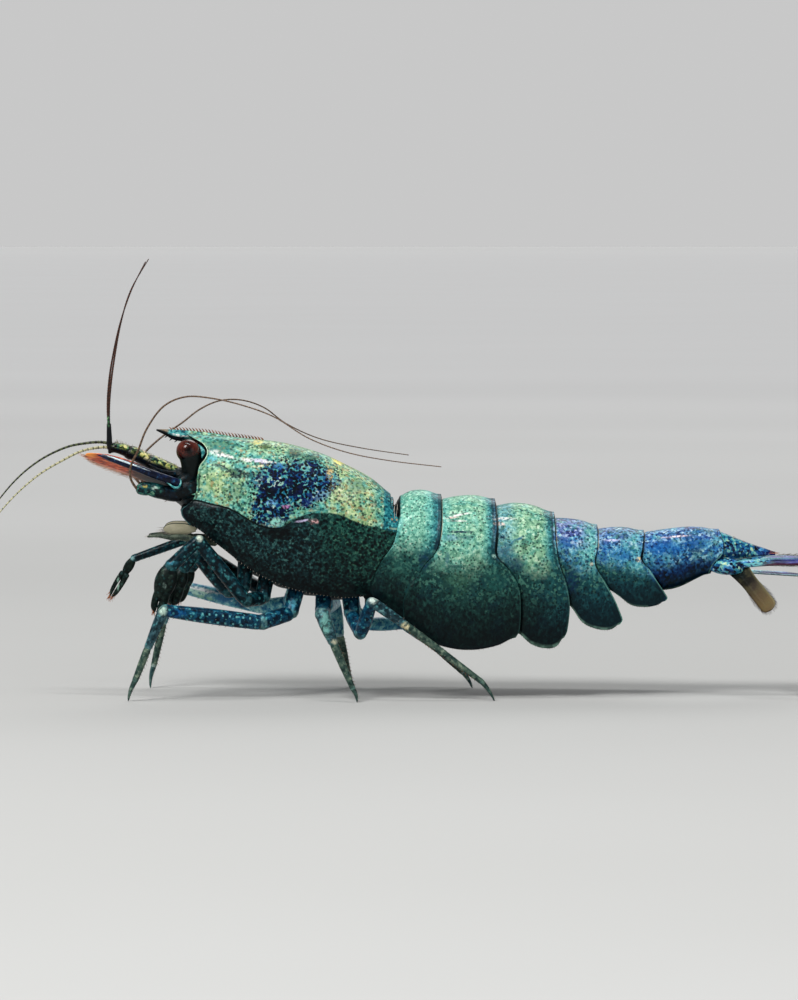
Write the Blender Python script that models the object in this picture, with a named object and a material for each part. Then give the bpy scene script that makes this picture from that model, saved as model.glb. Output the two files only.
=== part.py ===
"""Life-size blue bolt shrimp, standing on its six walking legs.

The head points to -X, its left side to -Y and +Z is up. The floor is z = 0 and the origin
is the middle of the footprint. All sizes below are in millimetres; meshes are in metres.
"""

import math

import bmesh
import bpy
from mathutils import Vector

MM = 0.001
GAP = 0.3  # clearance between pieces that touch on the animal
SHELL = 0.5  # thickness of shell flaps, fins and blades
LEFT, RIGHT = -1, 1
SIDE_NAMES = {LEFT: "left", RIGHT: "right"}
ACROSS_BODY = Vector((0, 1, 0))
ALONG_BODY = Vector((1, 0, 0))
DOWN = Vector((0, 0, -1))

# Lines between neighbouring shell rings, from the lower edge to the back, as (x, z).
SHELL_LINES = [
    [(-0.75, 4.45), (-0.95, 4.95), (-0.55, 6.05), (0.05, 6.95), (0.28, 7.9), (0.3, 8.8)],
    [(0.72, 3.42), (0.7, 4.4), (1.05, 5.2), (1.4, 5.95), (2.0, 6.65), (2.2, 7.6), (2.2, 8.9)],
    [(5.7, 2.75), (5.78, 3.8), (5.7, 4.9), (5.2, 5.8), (4.62, 6.5), (4.68, 7.6), (4.62, 8.7)],
    [(7.86, 2.9), (7.98, 4.1), (7.8, 5.1), (7.46, 6.1), (7.33, 7.0), (7.28, 8.1)],
    [(10.37, 3.5), (10.0, 4.4), (9.5, 5.25), (9.08, 6.0), (9.2, 6.75), (9.22, 7.5)],
    [(12.4, 4.45), (12.05, 5.0), (11.55, 5.7), (11.15, 6.2), (11.22, 6.7), (11.32, 7.3)],
    [(14.25, 5.45), (14.45, 5.95), (14.82, 6.4), (14.88, 6.85), (14.7, 7.45)],
]
# Each shell ring: its back and lower edge from front to rear as heights at even steps,
# half-widths at its front and rear, height of the belly floor, share of the height
# where it is widest, and how far the lower edge tucks in as a share of the width.
SHELL_RINGS = [
    dict(back=[8.95, 9.22, 9.22, 9.02], edge=[4.15, 3.85, 3.6, 3.45], widths=(2.15, 2.3),
         belly=5.4, waist=0.52, tuck=0.06),
    dict(back=[8.82, 8.93, 8.95, 8.82], edge=[3.35, 2.6, 2.27, 2.2, 2.38, 2.75],
         widths=(2.35, 2.4), belly=4.75, waist=0.55, tuck=0.04),
    dict(back=[8.52, 8.62, 8.5, 8.22], edge=[2.9, 2.46, 2.27, 2.36, 2.9], widths=(2.25, 2.15),
         belly=4.75, waist=0.54, tuck=0.04),
    dict(back=[7.98, 7.9, 7.78, 7.56], edge=[4.15, 3.42, 3.12, 3.1, 3.48], widths=(2.0, 1.85),
         belly=5.0, waist=0.52, tuck=0.05),
    dict(back=[7.48, 7.54, 7.5, 7.32], edge=[4.85, 4.2, 4.06, 4.15, 4.45], widths=(1.7, 1.5),
         belly=5.45, waist=0.5, tuck=0.05),
    dict(back=[7.34, 7.46, 7.56, 7.57, 7.45], edge=[4.78, 4.84, 5.0, 5.25, 5.5], widths=(1.3, 0.95),
         belly=None, waist=0.5, tuck=0.35),
]
CARAPACE_FRONT = [(-9.0, 7.75), (-9.32, 8.15), (-9.15, 8.55), (-8.75, 8.85), (-8.42, 9.3), (-8.38, 9.9),
                  (-8.25, 10.4), (-8.02, 10.8), (-8.12, 11.2), (-8.5, 11.75)]
CARAPACE_BACK = [11.76, 11.68, 11.54, 11.33, 10.95, 10.47, 9.82, 8.9]
CARAPACE_EDGE = [7.75, 6.85, 6.0, 5.35, 4.92, 4.65, 4.52, 4.6]
CARAPACE_WIDTHS = [1.55, 1.95, 2.2, 2.38, 2.45, 2.45, 2.35, 2.15]
CARAPACE_WAIST = 0.44
CARAPACE_TUCK = 0.13
END_ROWS = 3  # faces from the rim of a shell ring to its belly floor, along each end
VAULT = 1.15  # depth of the hollow under the carapace, where the legs are rooted
KEEL_LIFT = 0.15  # height of the keel's underside above the lower edge of the carapace
STERNUM_DEPTH = 0.6
STERNUM_HALF_WIDTH = 1.15
RIB_HEIGHT = 0.1  # ribs on the tail fan and the antennal scales
RIB_SPREAD = 0.16  # half of a rib's foot, as a share of the blade's half-width

ROSTRUM_TIP = (-10.55, 11.95)
ROSTRUM_ROOT_X = -6.35
ROSTRUM_TEETH = 12
ROSTRUM_TEETH_FROM, ROSTRUM_TEETH_TO = -10.1, -7.0
TOOTH_HEIGHT = 0.16
LOWER_TEETH_TO = -9.6  # the blade has smaller teeth below, near its tip
ROSTRUM_UPPER = [(-10.55, 11.96), (-9.2, 11.95), (-8.0, 11.88), (-7.2, 11.74), (-6.7, 11.45), (-6.3, 11.0)]
ROSTRUM_LOWER = [(-10.55, 11.9), (-10.2, 11.68), (-9.8, 11.48), (-9.3, 11.42), (-8.6, 11.38), (-6.3, 10.4)]

EYE_RADIUS = 0.54
EYE_CENTRE = (-9.09, 1.12, 11.03)
EYE_SEGMENTS, EYE_RINGS = 14, 9
# The face, from the mouth up to the brow: height, half-width, front x and rear x.
HEAD_LEVELS = [(7.7, 0.42, -9.25, -8.8), (8.1, 0.58, -9.4, -8.78), (8.4, 0.62, -9.46, -8.82),
               (8.62, 0.7, -9.5, -9.08), (8.9, 1.25, -9.52, -9.06), (9.08, 1.5, -9.54, -8.94),
               (9.35, 1.52, -9.54, -8.74), (9.52, 1.4, -9.54, -8.74), (9.58, 0.52, -9.52, -8.74),
               (9.9, 0.42, -9.5, -8.7), (10.42, 0.3, -9.4, -8.66)]

# Walking legs and claws, each from its root to its tip: joint places and thicknesses.
LEG_ROOT_X = {1: -6.5, 2: -5.5, 3: -4.1, 4: -3.0, 5: -1.9}
LEG_ROOT_Y = {1: 0.78, 2: 0.9, 3: 0.92, 4: 0.92, 5: 0.88}
FOOT_RADIUS = 0.17
LEG_SIDES = 8


def clear_scene():
    for item in list(bpy.data.objects):
        bpy.data.objects.remove(item)


def shade(name, colour, roughness, metallic=0.0):
    material = bpy.data.materials.get(name)
    if material is None:
        material = bpy.data.materials.new(name)
        material.use_nodes = True
        surface = material.node_tree.nodes["Principled BSDF"]
        surface.inputs["Base Color"].default_value = (*colour, 1.0)
        surface.inputs["Roughness"].default_value = roughness
        surface.inputs["Metallic"].default_value = metallic
    return material


# Base colour, roughness and metallic value of each kind of part.
MATERIALS = {
    "carapace": ((0.16, 0.42, 0.36), 0.3, 0.25),
    "pleon_front": ((0.13, 0.4, 0.38), 0.3, 0.25),
    "pleon_rear": ((0.05, 0.22, 0.42), 0.3, 0.25),
    "tail_fan": ((0.03, 0.13, 0.3), 0.35, 0.2),
    "leg": ((0.03, 0.16, 0.2), 0.3, 0.2),
    "claw": ((0.02, 0.09, 0.11), 0.3, 0.15),
    "swimmeret": ((0.02, 0.12, 0.17), 0.4, 0.1),
    "feeler_base": ((0.015, 0.07, 0.14), 0.28, 0.25),
    "short_whip": ((0.1, 0.05, 0.03), 0.4, 0.0),
    "long_whip": ((0.16, 0.05, 0.025), 0.4, 0.0),
    "scale": ((0.55, 0.16, 0.07), 0.4, 0.05),
    "eye": ((0.17, 0.02, 0.012), 0.1, 0.0),
    "eyestalk": ((0.012, 0.02, 0.022), 0.3, 0.0),
    "face": ((0.012, 0.05, 0.06), 0.35, 0.1),
    "keel": ((0.012, 0.06, 0.08), 0.45, 0.05),
    "mouthpart": ((0.14, 0.2, 0.17), 0.4, 0.05),
    "mouth_flap": ((0.4, 0.38, 0.3), 0.5, 0.0),
}


def make_object(name, points, faces, look):
    """One closed mesh from points in millimetres, faces turned outwards."""
    mesh = bpy.data.meshes.new(name)
    mesh.from_pydata([tuple(Vector(p) * MM) for p in points], [], faces)
    shell = bmesh.new()
    shell.from_mesh(mesh)
    bmesh.ops.recalc_face_normals(shell, faces=shell.faces)
    shell.to_mesh(mesh)
    shell.free()
    mesh.shade_smooth()
    mesh.set_sharp_from_angle(angle=math.radians(50))
    mesh.materials.append(shade(look, *MATERIALS[look]))
    item = bpy.data.objects.new(name, mesh)
    bpy.context.scene.collection.objects.link(item)
    return item


def through(points, share):
    """The point at this share of the steps of a smooth line through points (Catmull-Rom)."""
    last = len(points) - 1
    place = min(max(share, 0.0), 1.0) * last
    i = min(int(place), last - 1)
    u = place - i
    before, after = points[max(i - 1, 0)], points[min(i + 2, last)]
    a, b = points[i], points[i + 1]
    if isinstance(a, (int, float)):
        before, a, b, after = (Vector((v, 0)) for v in (before, a, b, after))
        return curve_value(before, a, b, after, u)[0]
    return curve_value(*(Vector(v) for v in (before, a, b, after)), u)


def curve_value(before, a, b, after, u):
    return 0.5 * (
        2 * a
        + (b - before) * u
        + (2 * before - 5 * a + 4 * b - after) * u**2
        + (3 * a - before - 3 * b + after) * u**3
    )


def at_height(line, height):
    """x on a line of (x, z) places at a height, held at both ends."""
    if height <= line[0][1]:
        return line[0][0]
    for (xa, za), (xb, zb) in zip(line, line[1:]):
        if height <= zb:
            return xa + (xb - xa) * (height - za) / (zb - za)
    return line[-1][0]


def beside(line, height, way):
    """x half a gap before (way -1) or behind (way 1) a line, measured square to the line."""
    step = 0.35
    slope = (at_height(line, height + step) - at_height(line, height - step)) / (2 * step)
    middle = sum(at_height(line, height + k * step / 2) for k in (-1, 0, 1)) / 3
    return middle + way * GAP / 2 * math.sqrt(1 + slope * slope)


def cross_section(waist, tuck, skirt_steps=4, crown_steps=6):
    """(height share, width share) pairs from the left lower edge over the back to the right one."""
    half = [(waist * k / skirt_steps, 1 - tuck * (1 - k / skirt_steps) ** 2) for k in range(skirt_steps)]
    for k in range(crown_steps + 1):
        turn = math.pi / 2 * k / crown_steps
        half.append((waist + (1 - waist) * math.sin(turn) ** 0.92, max(math.cos(turn), 0.0) ** 0.9))
    half[-1] = (1.0, 0.0)
    left = [(h, LEFT * w) for h, w in half]
    right = [(h, RIGHT * w) for h, w in reversed(half[:-1])]
    return left + right


def lining(h, w, low, top, floor, half_width):
    """The (y, z) inside a shell ring for an outer point: the flap's inner face, or a place on the floor."""
    limit = (floor - low) / (top - low)
    if h < limit:
        return w * half_width, low + h * (top - low)
    return math.copysign((1 - h) / (1 - limit), w) * half_width if w else 0.0, floor


def arched_body(name, look, front, rear, back, edge, widths, belly, waist, tuck, stations):
    """A shell ring as one solid: an arch, side flaps of SHELL thickness and a belly floor between them.

    Both ends follow the lines front(z) and rear(z), so that neighbours keep an even gap.
    """
    section = cross_section(waist, tuck)
    rows = []
    for s in range(stations + 1):
        t = s / stations
        top, low = through(back, t), through(edge, t)
        half_width = through(widths, t)
        floor = belly(low)
        outer = [(w * half_width, low + h * (top - low)) for h, w in section]
        inner = [lining(h, w, low, top, floor, half_width - SHELL) for h, w in section]
        lift = lambda pairs, t=t: [((1 - t) * front(z) + t * rear(z), y, z) for y, z in pairs]
        rows.append([lift(outer), lift(inner)])
        if s in (0, stations):
            ends = [lift([(yo + (yi - yo) * k / END_ROWS, zo + (zi - zo) * k / END_ROWS)
                          for (yo, zo), (yi, zi) in zip(outer, inner)]) for k in range(1, END_ROWS)]
            rows[-1] = [rows[-1][0]] + ends + [rows[-1][1]]
    count = len(section)
    points, first = [], []
    for row in rows:
        first.append([len(points) + k * count for k in range(len(row))])
        for strand in row:
            points += strand
    faces = []
    for here, ahead in zip(first, first[1:]):
        for k in range(count - 1):
            faces.append((here[0] + k, here[0] + k + 1, ahead[0] + k + 1, ahead[0] + k))
            faces.append((ahead[-1] + k, ahead[-1] + k + 1, here[-1] + k + 1, here[-1] + k))
        for k in (0, count - 1):
            faces.append((here[0] + k, ahead[0] + k, *(n + k for n in ahead[1:-1]), ahead[-1] + k,
                          here[-1] + k, *(n + k for n in reversed(here[1:-1]))))
    for end in (first[0], first[-1]):
        for n, m in zip(end, end[1:]):
            faces += [(n + k, n + k + 1, m + k + 1, m + k) for k in range(count - 1)]
    return make_object(name, points, faces, look)


def solid_loft(name, rings, look):
    """A closed body through rings of equal point count, flat at both ends."""
    count = len(rings[0])
    points = [p for ring in rings for p in ring]
    faces = []
    for s in range(len(rings) - 1):
        for k in range(count):
            a, b = s * count + k, s * count + (k + 1) % count
            faces.append((a, b, b + count, a + count))
    faces.append(tuple(range(count)))
    last = (len(rings) - 1) * count
    faces.append(tuple(last + k for k in reversed(range(count))))
    return make_object(name, points, faces, look)


def bend_points(joints, reach=0.2):
    """The joints of a limb with each bend rounded over a length that suits its angle and thickness."""
    path = [joints[0]]
    for before, here, after in zip(joints, joints[1:], joints[2:]):
        p, q, r = (Vector(v[0]) for v in (before, here, after))
        back, ahead = p - q, r - q
        half_turn = (math.pi - back.angle(ahead)) / 2
        ease = max(reach, 1.45 * here[1] * math.tan(half_turn))
        a = q + back.normalized() * min(ease, 0.42 * back.length)
        c = q + ahead.normalized() * min(ease, 0.42 * ahead.length)
        path += [(a, here[1]), (0.25 * a + 0.5 * q + 0.25 * c, here[1]), (c, here[1])]
    path.append(joints[-1])
    return path


def swept(name, path, look, across=ACROSS_BODY, sides=LEG_SIDES, turned_ends=(None, None)):
    """A closed tube along path; each size is a radius or (half-extent along across, other half-extent).

    turned_ends gives the direction of the first and last ring where they lie on a given plane.
    """
    places = [Vector(p) for p, _ in path]
    rings = []
    for i, (_, size) in enumerate(path):
        ahead = places[min(i + 1, len(places) - 1)] - places[i]
        behind = places[i] - places[max(i - 1, 0)]
        way = ahead.normalized() + behind.normalized()
        if i == 0 and turned_ends[0] is not None:
            way = turned_ends[0].copy()
        if i == len(places) - 1 and turned_ends[1] is not None:
            way = turned_ends[1].copy()
        way.normalize()
        wide, high = size if isinstance(size, tuple) else (size, size)
        side = (across - way * across.dot(way)).normalized()
        up = way.cross(side)
        ring = []
        for k in range(sides):
            turn = 2 * math.pi * (k + 0.5) / sides
            ring.append(places[i] + side * wide * math.cos(turn) + up * high * math.sin(turn))
        rings.append(ring)
    return solid_loft(name, rings, look)


def fuse(base, others, solver="EXACT"):
    """Joins closed pieces to base with one union, and keeps the largest closed surface."""
    pieces = bpy.data.collections.new(base.name + "_pieces")
    bpy.context.scene.collection.children.link(pieces)
    for item in others:
        bpy.context.scene.collection.objects.unlink(item)
        pieces.objects.link(item)
    union = base.modifiers.new("union", "BOOLEAN")
    union.operation = "UNION"
    union.operand_type = "COLLECTION"
    union.collection = pieces
    union.solver = solver
    whole = bpy.data.meshes.new_from_object(base.evaluated_get(bpy.context.evaluated_depsgraph_get()))
    base.modifiers.clear()
    base.data = whole
    for item in others:
        bpy.data.objects.remove(item)
    bpy.data.collections.remove(pieces)
    keep_largest(whole)
    whole.shade_smooth()
    whole.set_sharp_from_angle(angle=math.radians(50))
    return base


def keep_largest(mesh):
    shell = bmesh.new()
    shell.from_mesh(mesh)
    unseen = set(shell.verts)
    islands = []
    while unseen:
        reached = [unseen.pop()]
        for vert in reached:
            near = {e.other_vert(vert) for e in vert.link_edges} & unseen
            unseen -= near
            reached.extend(near)
        islands.append(reached)
    islands.sort(key=len)
    for island in islands[:-1]:
        bmesh.ops.delete(shell, geom=island, context="VERTS")
    shell.to_mesh(mesh)
    shell.free()


def edge_height(x):
    """Height of the carapace's lower edge at x."""
    share = (x - CARAPACE_FRONT[0][0]) / (SHELL_LINES[0][0][0] - CARAPACE_FRONT[0][0])
    return through(CARAPACE_EDGE, share)


def carapace():
    line = SHELL_LINES[0]
    body = arched_body(
        "carapace", "carapace",
        front=lambda z: at_height(CARAPACE_FRONT, z), rear=lambda z: beside(line, z, -1),
        back=CARAPACE_BACK, edge=CARAPACE_EDGE, widths=CARAPACE_WIDTHS,
        belly=lambda low: low + VAULT, waist=CARAPACE_WAIST, tuck=CARAPACE_TUCK, stations=14)
    return fuse(body, [rostrum()])


def rostrum():
    """A keel over the eyes: a blade with forward teeth along its upper edge."""
    pitch = (ROSTRUM_TEETH_TO - ROSTRUM_TEETH_FROM) / ROSTRUM_TEETH
    cuts = [(ROSTRUM_TIP[0], 0.0), (ROSTRUM_TEETH_FROM - 0.08, 0.0)]
    for k in range(ROSTRUM_TEETH):
        point = ROSTRUM_TEETH_FROM + k * pitch
        size = TOOTH_HEIGHT * (0.7 + 0.3 * math.sin(math.pi * (k + 0.5) / ROSTRUM_TEETH))
        cuts += [(point, size), (point + 0.86 * pitch, 0.0)]
    cuts += [(-6.7, 0.0), (ROSTRUM_ROOT_X, 0.0)]
    rings = []
    for x, tooth in cuts:
        grown = min((x - ROSTRUM_TIP[0]) / 0.7, 1.0)
        top = at_x(ROSTRUM_UPPER, x) + tooth
        low = at_x(ROSTRUM_LOWER, x) - (0.6 * tooth if x < LOWER_TEETH_TO else 0.0)
        thick = SHELL / 2 * (0.2 + 0.8 * grown) + 0.1 * max(0.0, x + 8.6)
        middle = (0.6 * low + 0.4 * (top - tooth))
        rings.append([(x, 0.05, top), (x, thick, middle), (x, 0.5 * thick, low),
                      (x, -0.5 * thick, low), (x, -thick, middle), (x, -0.05, top)])
    return solid_loft("rostrum", rings, "carapace")


def at_x(line, x):
    for (xa, za), (xb, zb) in zip(line, line[1:]):
        if x <= xb + 1e-9:
            return za + (zb - za) * (x - xa) / (xb - xa)
    return line[-1][1]


def sternum():
    """The keel under the carapace that carries the legs."""
    rings = []
    steps = 9
    for s in range(steps + 1):
        x = -8.25 + 6.9 * s / steps
        low = edge_height(x) + KEEL_LIFT
        half = STERNUM_HALF_WIDTH * (0.72 + 0.28 * math.sin(math.pi * min(s / steps * 1.3 + 0.1, 1.0) / 2))
        top = low + STERNUM_DEPTH
        rings.append([(x, -half, low + 0.12), (x, -0.8 * half, low), (x, 0.8 * half, low),
                      (x, half, low + 0.12), (x, 0.85 * half, top), (x, -0.85 * half, top)])
    return solid_loft("thorax", rings, "keel")


def pleon():
    """Six shell rings behind the carapace; the first five carry side flaps."""
    for k, ring in enumerate(SHELL_RINGS):
        name = f"pleon_{k + 1}"
        look = "pleon_front" if k < 3 else "pleon_rear"
        front = lambda z, line=SHELL_LINES[k]: beside(line, z, 1)
        rear = lambda z, line=SHELL_LINES[k + 1]: beside(line, z, -1)
        floor = ring["belly"]
        if floor is None:
            tail_ring(name, look, front, rear, ring)
            continue
        arched_body(name, look, front, rear, ring["back"], ring["edge"], ring["widths"],
                    belly=lambda low, f=floor: f, waist=ring["waist"], tuck=ring["tuck"], stations=6)


def tail_ring(name, look, front, rear, ring):
    """The sixth ring is a plain tapering tube without side flaps."""
    rings = []
    stations = 7
    section = cross_section(ring["waist"], ring["tuck"])
    for s in range(stations + 1):
        t = s / stations
        top, low = through(ring["back"], t), through(ring["edge"], t)
        half_width = through(ring["widths"], t)
        heights = [low + h * (top - low) for h, _ in section]
        rings.append([((1 - t) * front(z) + t * rear(z), w * half_width, z)
                      for z, (_, w) in zip(heights, section)])
    return solid_loft(name, rings, look)


def telson():
    """The pointed middle plate of the tail fan."""
    stations = [(15.05, 7.38, 6.25, 0.7), (15.5, 7.14, 6.22, 0.66), (16.2, 6.85, 6.24, 0.52),
                (16.9, 6.62, 6.24, 0.38), (17.25, 6.5, 6.26, 0.22)]
    rings = []
    for x, top, low, half in stations:
        shoulder = low + 0.45 * (top - low)
        rings.append([(x, -0.85 * half, low), (x, 0.85 * half, low), (x, half, shoulder),
                      (x, 0.55 * half, top - 0.06), (x, -0.55 * half, top - 0.06), (x, -half, shoulder)])
    return solid_loft("telson", rings, "tail_fan")


def blade(name, look, root, tip, across, half_width, bow=0.0, rib_at=0.0, steps=7):
    """A flat fin from root to tip, rounded at its end, with one rib raised along its upper face.

    across lies along its width, and rib_at is where the rib runs, as a share of the half-width.
    """
    root, tip = Vector(root), Vector(tip)
    way = (tip - root).normalized()
    side = Vector(across).normalized()
    side = (side - way * side.dot(way)).normalized()
    up = way.cross(side)
    if up.z < 0:
        up = -up
    crest = 1.0 + RIB_HEIGHT / (SHELL / 2)
    rib = [(rib_at - RIB_SPREAD, 1.0), (rib_at, crest), (rib_at + RIB_SPREAD, 1.0)]
    upper_face = [(-1.0, 0.0), (-0.72, 1.0)] + rib + [(0.92, 0.8)]
    lower_face = [(1.0, 0.0), (0.72, -1.0), (0.0, -1.0), (-0.72, -1.0)]
    section = upper_face + lower_face
    rings = []
    for s in range(steps + 1):
        u = s / steps
        width = half_width * (0.45 + 0.55 * math.sin(math.pi / 2 * min(u / 0.45, 1.0)))
        if u > 0.7:
            width *= math.sqrt(max(1 - ((u - 0.7) / 0.33) ** 2, 0.06))
        height = SHELL / 2 * (1.0 if u < 0.8 else 1.0 - 0.5 * (u - 0.8) / 0.2)
        centre = root.lerp(tip, u) + Vector((0, 0, bow * math.sin(math.pi * u)))
        rings.append([centre + side * width * a + up * height * b for a, b in section])
    return solid_loft(name, rings, look)


def tail_fan():
    """Each uropod: a short base, an inner blade and an outer blade."""
    inner_tips = {LEFT: (19.35, -0.95, 5.95), RIGHT: (19.3, 1.0, 5.98)}
    outer_tips = {LEFT: (17.0, -3.3, 3.95), RIGHT: (18.95, 2.75, 5.2)}
    outer_across = {LEFT: (0.75, -0.1, 0.55), RIGHT: (-0.25, 1.0, 0.05)}
    outer_roots = {LEFT: (15.62, -1.3, 5.32), RIGHT: (15.7, 1.42, 5.4)}
    for side, word in SIDE_NAMES.items():
        swept(f"uropod_base_{word}", [((14.7, side * 0.6, 5.66), (0.3, 0.25)),
                                      ((14.95, side * 0.66, 5.66), (0.4, 0.3)),
                                      ((15.28, side * 0.76, 5.6), (0.42, 0.3))], "tail_fan")
        blade(f"uropod_inner_{word}", "tail_fan", (15.68, side * 0.72, 5.72), inner_tips[side],
              ACROSS_BODY, 0.5, bow=0.08)
        blade(f"uropod_outer_{word}", "tail_fan", outer_roots[side], outer_tips[side],
              outer_across[side], 0.55)


def head():
    """The face between the eyes and the mouth, which carries eyes, feelers and mouthparts."""
    rings = []
    for z, half, front, rear in HEAD_LEVELS:
        bulge, depth = 0.72 * half, rear - front
        rings.append([(front, -bulge, z), (front, bulge, z), (front + 0.3 * depth, half, z),
                      (rear - 0.3 * depth, half, z), (rear, bulge, z), (rear, -bulge, z),
                      (rear - 0.3 * depth, -half, z), (front + 0.3 * depth, -half, z)])
    return solid_loft("head", rings, "face")


def eyes():
    x, y, z = EYE_CENTRE
    for side, word in SIDE_NAMES.items():
        swept(f"eyestalk_{word}", [((-9.08, side * 1.04, 9.84), 0.3), ((-9.08, side * 1.06, 10.0), 0.33),
                                   ((x, side * 1.09, 10.2), 0.36)], "eyestalk")
        centre = Vector((x, side * y, z))
        rings = []
        for r in range(1, EYE_RINGS):
            tilt = math.pi * r / EYE_RINGS
            level, height = EYE_RADIUS * math.sin(tilt), EYE_RADIUS * math.cos(tilt)
            turns = [2 * math.pi * k / EYE_SEGMENTS for k in range(EYE_SEGMENTS)]
            rings.append([centre + Vector((level * math.cos(a), level * math.sin(a), height))
                          for a in turns])
        solid_loft(f"eye_{word}", rings, "eye")


def feelers():
    """First feelers with two whips each, and second feelers with a scale and one long whip."""
    base_tips = {LEFT: (-12.62, -0.5, 11.2), RIGHT: (-12.62, 0.45, 11.18)}
    for side, word in SIDE_NAMES.items():
        tip = base_tips[side]
        swept(f"antennule_{word}", [((-9.8, side * 0.42, 9.98), (0.27, 0.25)),
                                    ((-10.4, side * 0.43, 10.28), (0.29, 0.28)),
                                    ((-11.0, side * 0.44, 10.6), (0.27, 0.25)),
                                    ((-11.8, side * 0.45, 10.95), (0.29, 0.28)),
                                    (tip, (0.26, 0.25))], "feeler_base")
    upright = ([(-12.7, -0.5, 11.76), (-12.74, -0.56, 12.6), (-12.68, -0.8, 13.6), (-12.5, -1.1, 15.0),
                (-12.1, -1.4, 16.7), (-11.6, -1.6, 18.2), (-10.95, -1.7, 19.5)],
               [(-12.71, -0.52, 12.1), (-12.72, -0.44, 12.8), (-12.68, -0.25, 13.7), (-12.6, -0.05, 15.0),
                (-12.35, 0.1, 16.7), (-11.85, 0.2, 18.2), (-10.92, 0.25, 19.6)])
    forward = ([(-13.0, 0.5, 11.24), (-13.7, 0.62, 11.27), (-14.7, 1.0, 11.1), (-15.9, 1.35, 10.5),
                (-17.0, 1.6, 9.6), (-18.1, 1.8, 8.3), (-19.31, 1.9, 6.8)],
               [(-13.35, 0.54, 11.25), (-13.9, 0.42, 11.12), (-14.8, 0.1, 10.7), (-15.8, -0.15, 10.0),
                (-16.8, -0.3, 9.1), (-17.8, -0.4, 8.0), (-18.7, -0.45, 6.9)])
    for word, (outer, inner) in (("left", upright), ("right", forward)):
        stem = whip(f"antennule_whips_{word}", "short_whip", outer, 12)
        fuse(stem, [whip("branch", "short_whip", inner, 11, first=0.12)])
    for side, word in SIDE_NAMES.items():
        swept(f"antenna_base_{word}", [((-9.86, side * 1.32, 8.9), (0.36, 0.34)),
                                       ((-10.12, side * 1.4, 8.92), (0.42, 0.4)),
                                       ((-10.45, side * 1.5, 9.02), (0.34, 0.32)),
                                       ((-10.8, side * 1.7, 9.12), (0.28, 0.28)),
                                       ((-11.15, side * 1.88, 9.28), (0.27, 0.27))], "feeler_base")
        blade(f"antenna_scale_{word}", "scale", (-10.0, side * 1.22, 9.82), (-13.8, side * 1.2, 10.62),
              (0, side * 0.8, 0.6), 0.7, rib_at=0.55, steps=8)
    sweep = {
        LEFT: [(-11.43, -2.02, 9.46), (-11.72, -2.28, 9.95), (-11.62, -2.45, 10.6), (-11.28, -2.65, 11.4),
               (-10.8, -2.9, 12.3), (-10.1, -3.3, 13.15), (-9.1, -3.75, 13.55), (-7.9, -4.2, 13.5),
               (-6.5, -4.75, 13.2), (-5.1, -5.3, 12.7), (-3.6, -5.85, 11.8), (-1.9, -6.4, 11.2),
               (0.0, -6.8, 10.85), (2.2, -7.0, 10.6)],
        RIGHT: [(-11.43, 2.02, 9.46), (-11.7, 2.28, 9.9), (-11.45, 2.5, 10.5), (-10.95, 2.7, 11.05),
                (-10.3, 2.9, 11.6), (-9.5, 3.2, 12.15), (-8.7, 3.6, 12.75), (-7.8, 4.0, 13.12),
                (-6.8, 4.45, 13.12), (-5.8, 4.95, 12.75), (-4.8, 5.4, 12.0), (-3.3, 5.95, 11.3),
                (-1.4, 6.5, 10.85), (0.8, 7.0, 10.5)],
    }
    for side, word in SIDE_NAMES.items():
        whip(f"antenna_whip_{word}", "long_whip", sweep[side], 24)


def whip(name, look, line, steps, first=SHELL / 2):
    """A feeler as a thin tube that tapers over its last part."""
    path = []
    for s in range(steps + 1):
        u = s / steps
        radius = SHELL / 2 if u < 0.7 else SHELL / 2 * (1 - 0.72 * (u - 0.7) / 0.3)
        path.append((through(line, u), radius if s else first))
    return swept(name, path, look, sides=6)


def mouthparts():
    for side, word in SIDE_NAMES.items():
        swept(f"maxilliped_{word}", bend_points([
            ((-8.25, side * 0.5, 6.62), 0.26), ((-8.75, side * 0.55, 6.86), 0.27),
            ((-9.6, side * 0.58, 7.02), 0.26), ((-10.5, side * 0.6, 7.12), 0.25),
            ((-11.0, side * 0.6, 7.16), 0.1)]), "mouthpart")
        swept(f"mouth_flap_{word}", [((-9.76, side * 0.62, 7.95), (0.25, 0.26)),
                                     ((-9.92, side * 0.64, 7.98), (0.25, 0.36)),
                                     ((-10.15, side * 0.66, 7.96), (0.25, 0.34)),
                                     ((-10.4, side * 0.66, 7.9), (0.15, 0.16))], "mouth_flap")


def leg_root(number, side):
    """Where a leg starts, a gap below the keel, and the direction square to the keel there."""
    x = LEG_ROOT_X[number]
    slope = (edge_height(x + 0.3) - edge_height(x - 0.3)) / 0.6
    out = Vector((slope, 0, -1)).normalized()
    return Vector((x, side * LEG_ROOT_Y[number], edge_height(x) + KEEL_LIFT)) + out * GAP, out


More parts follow.
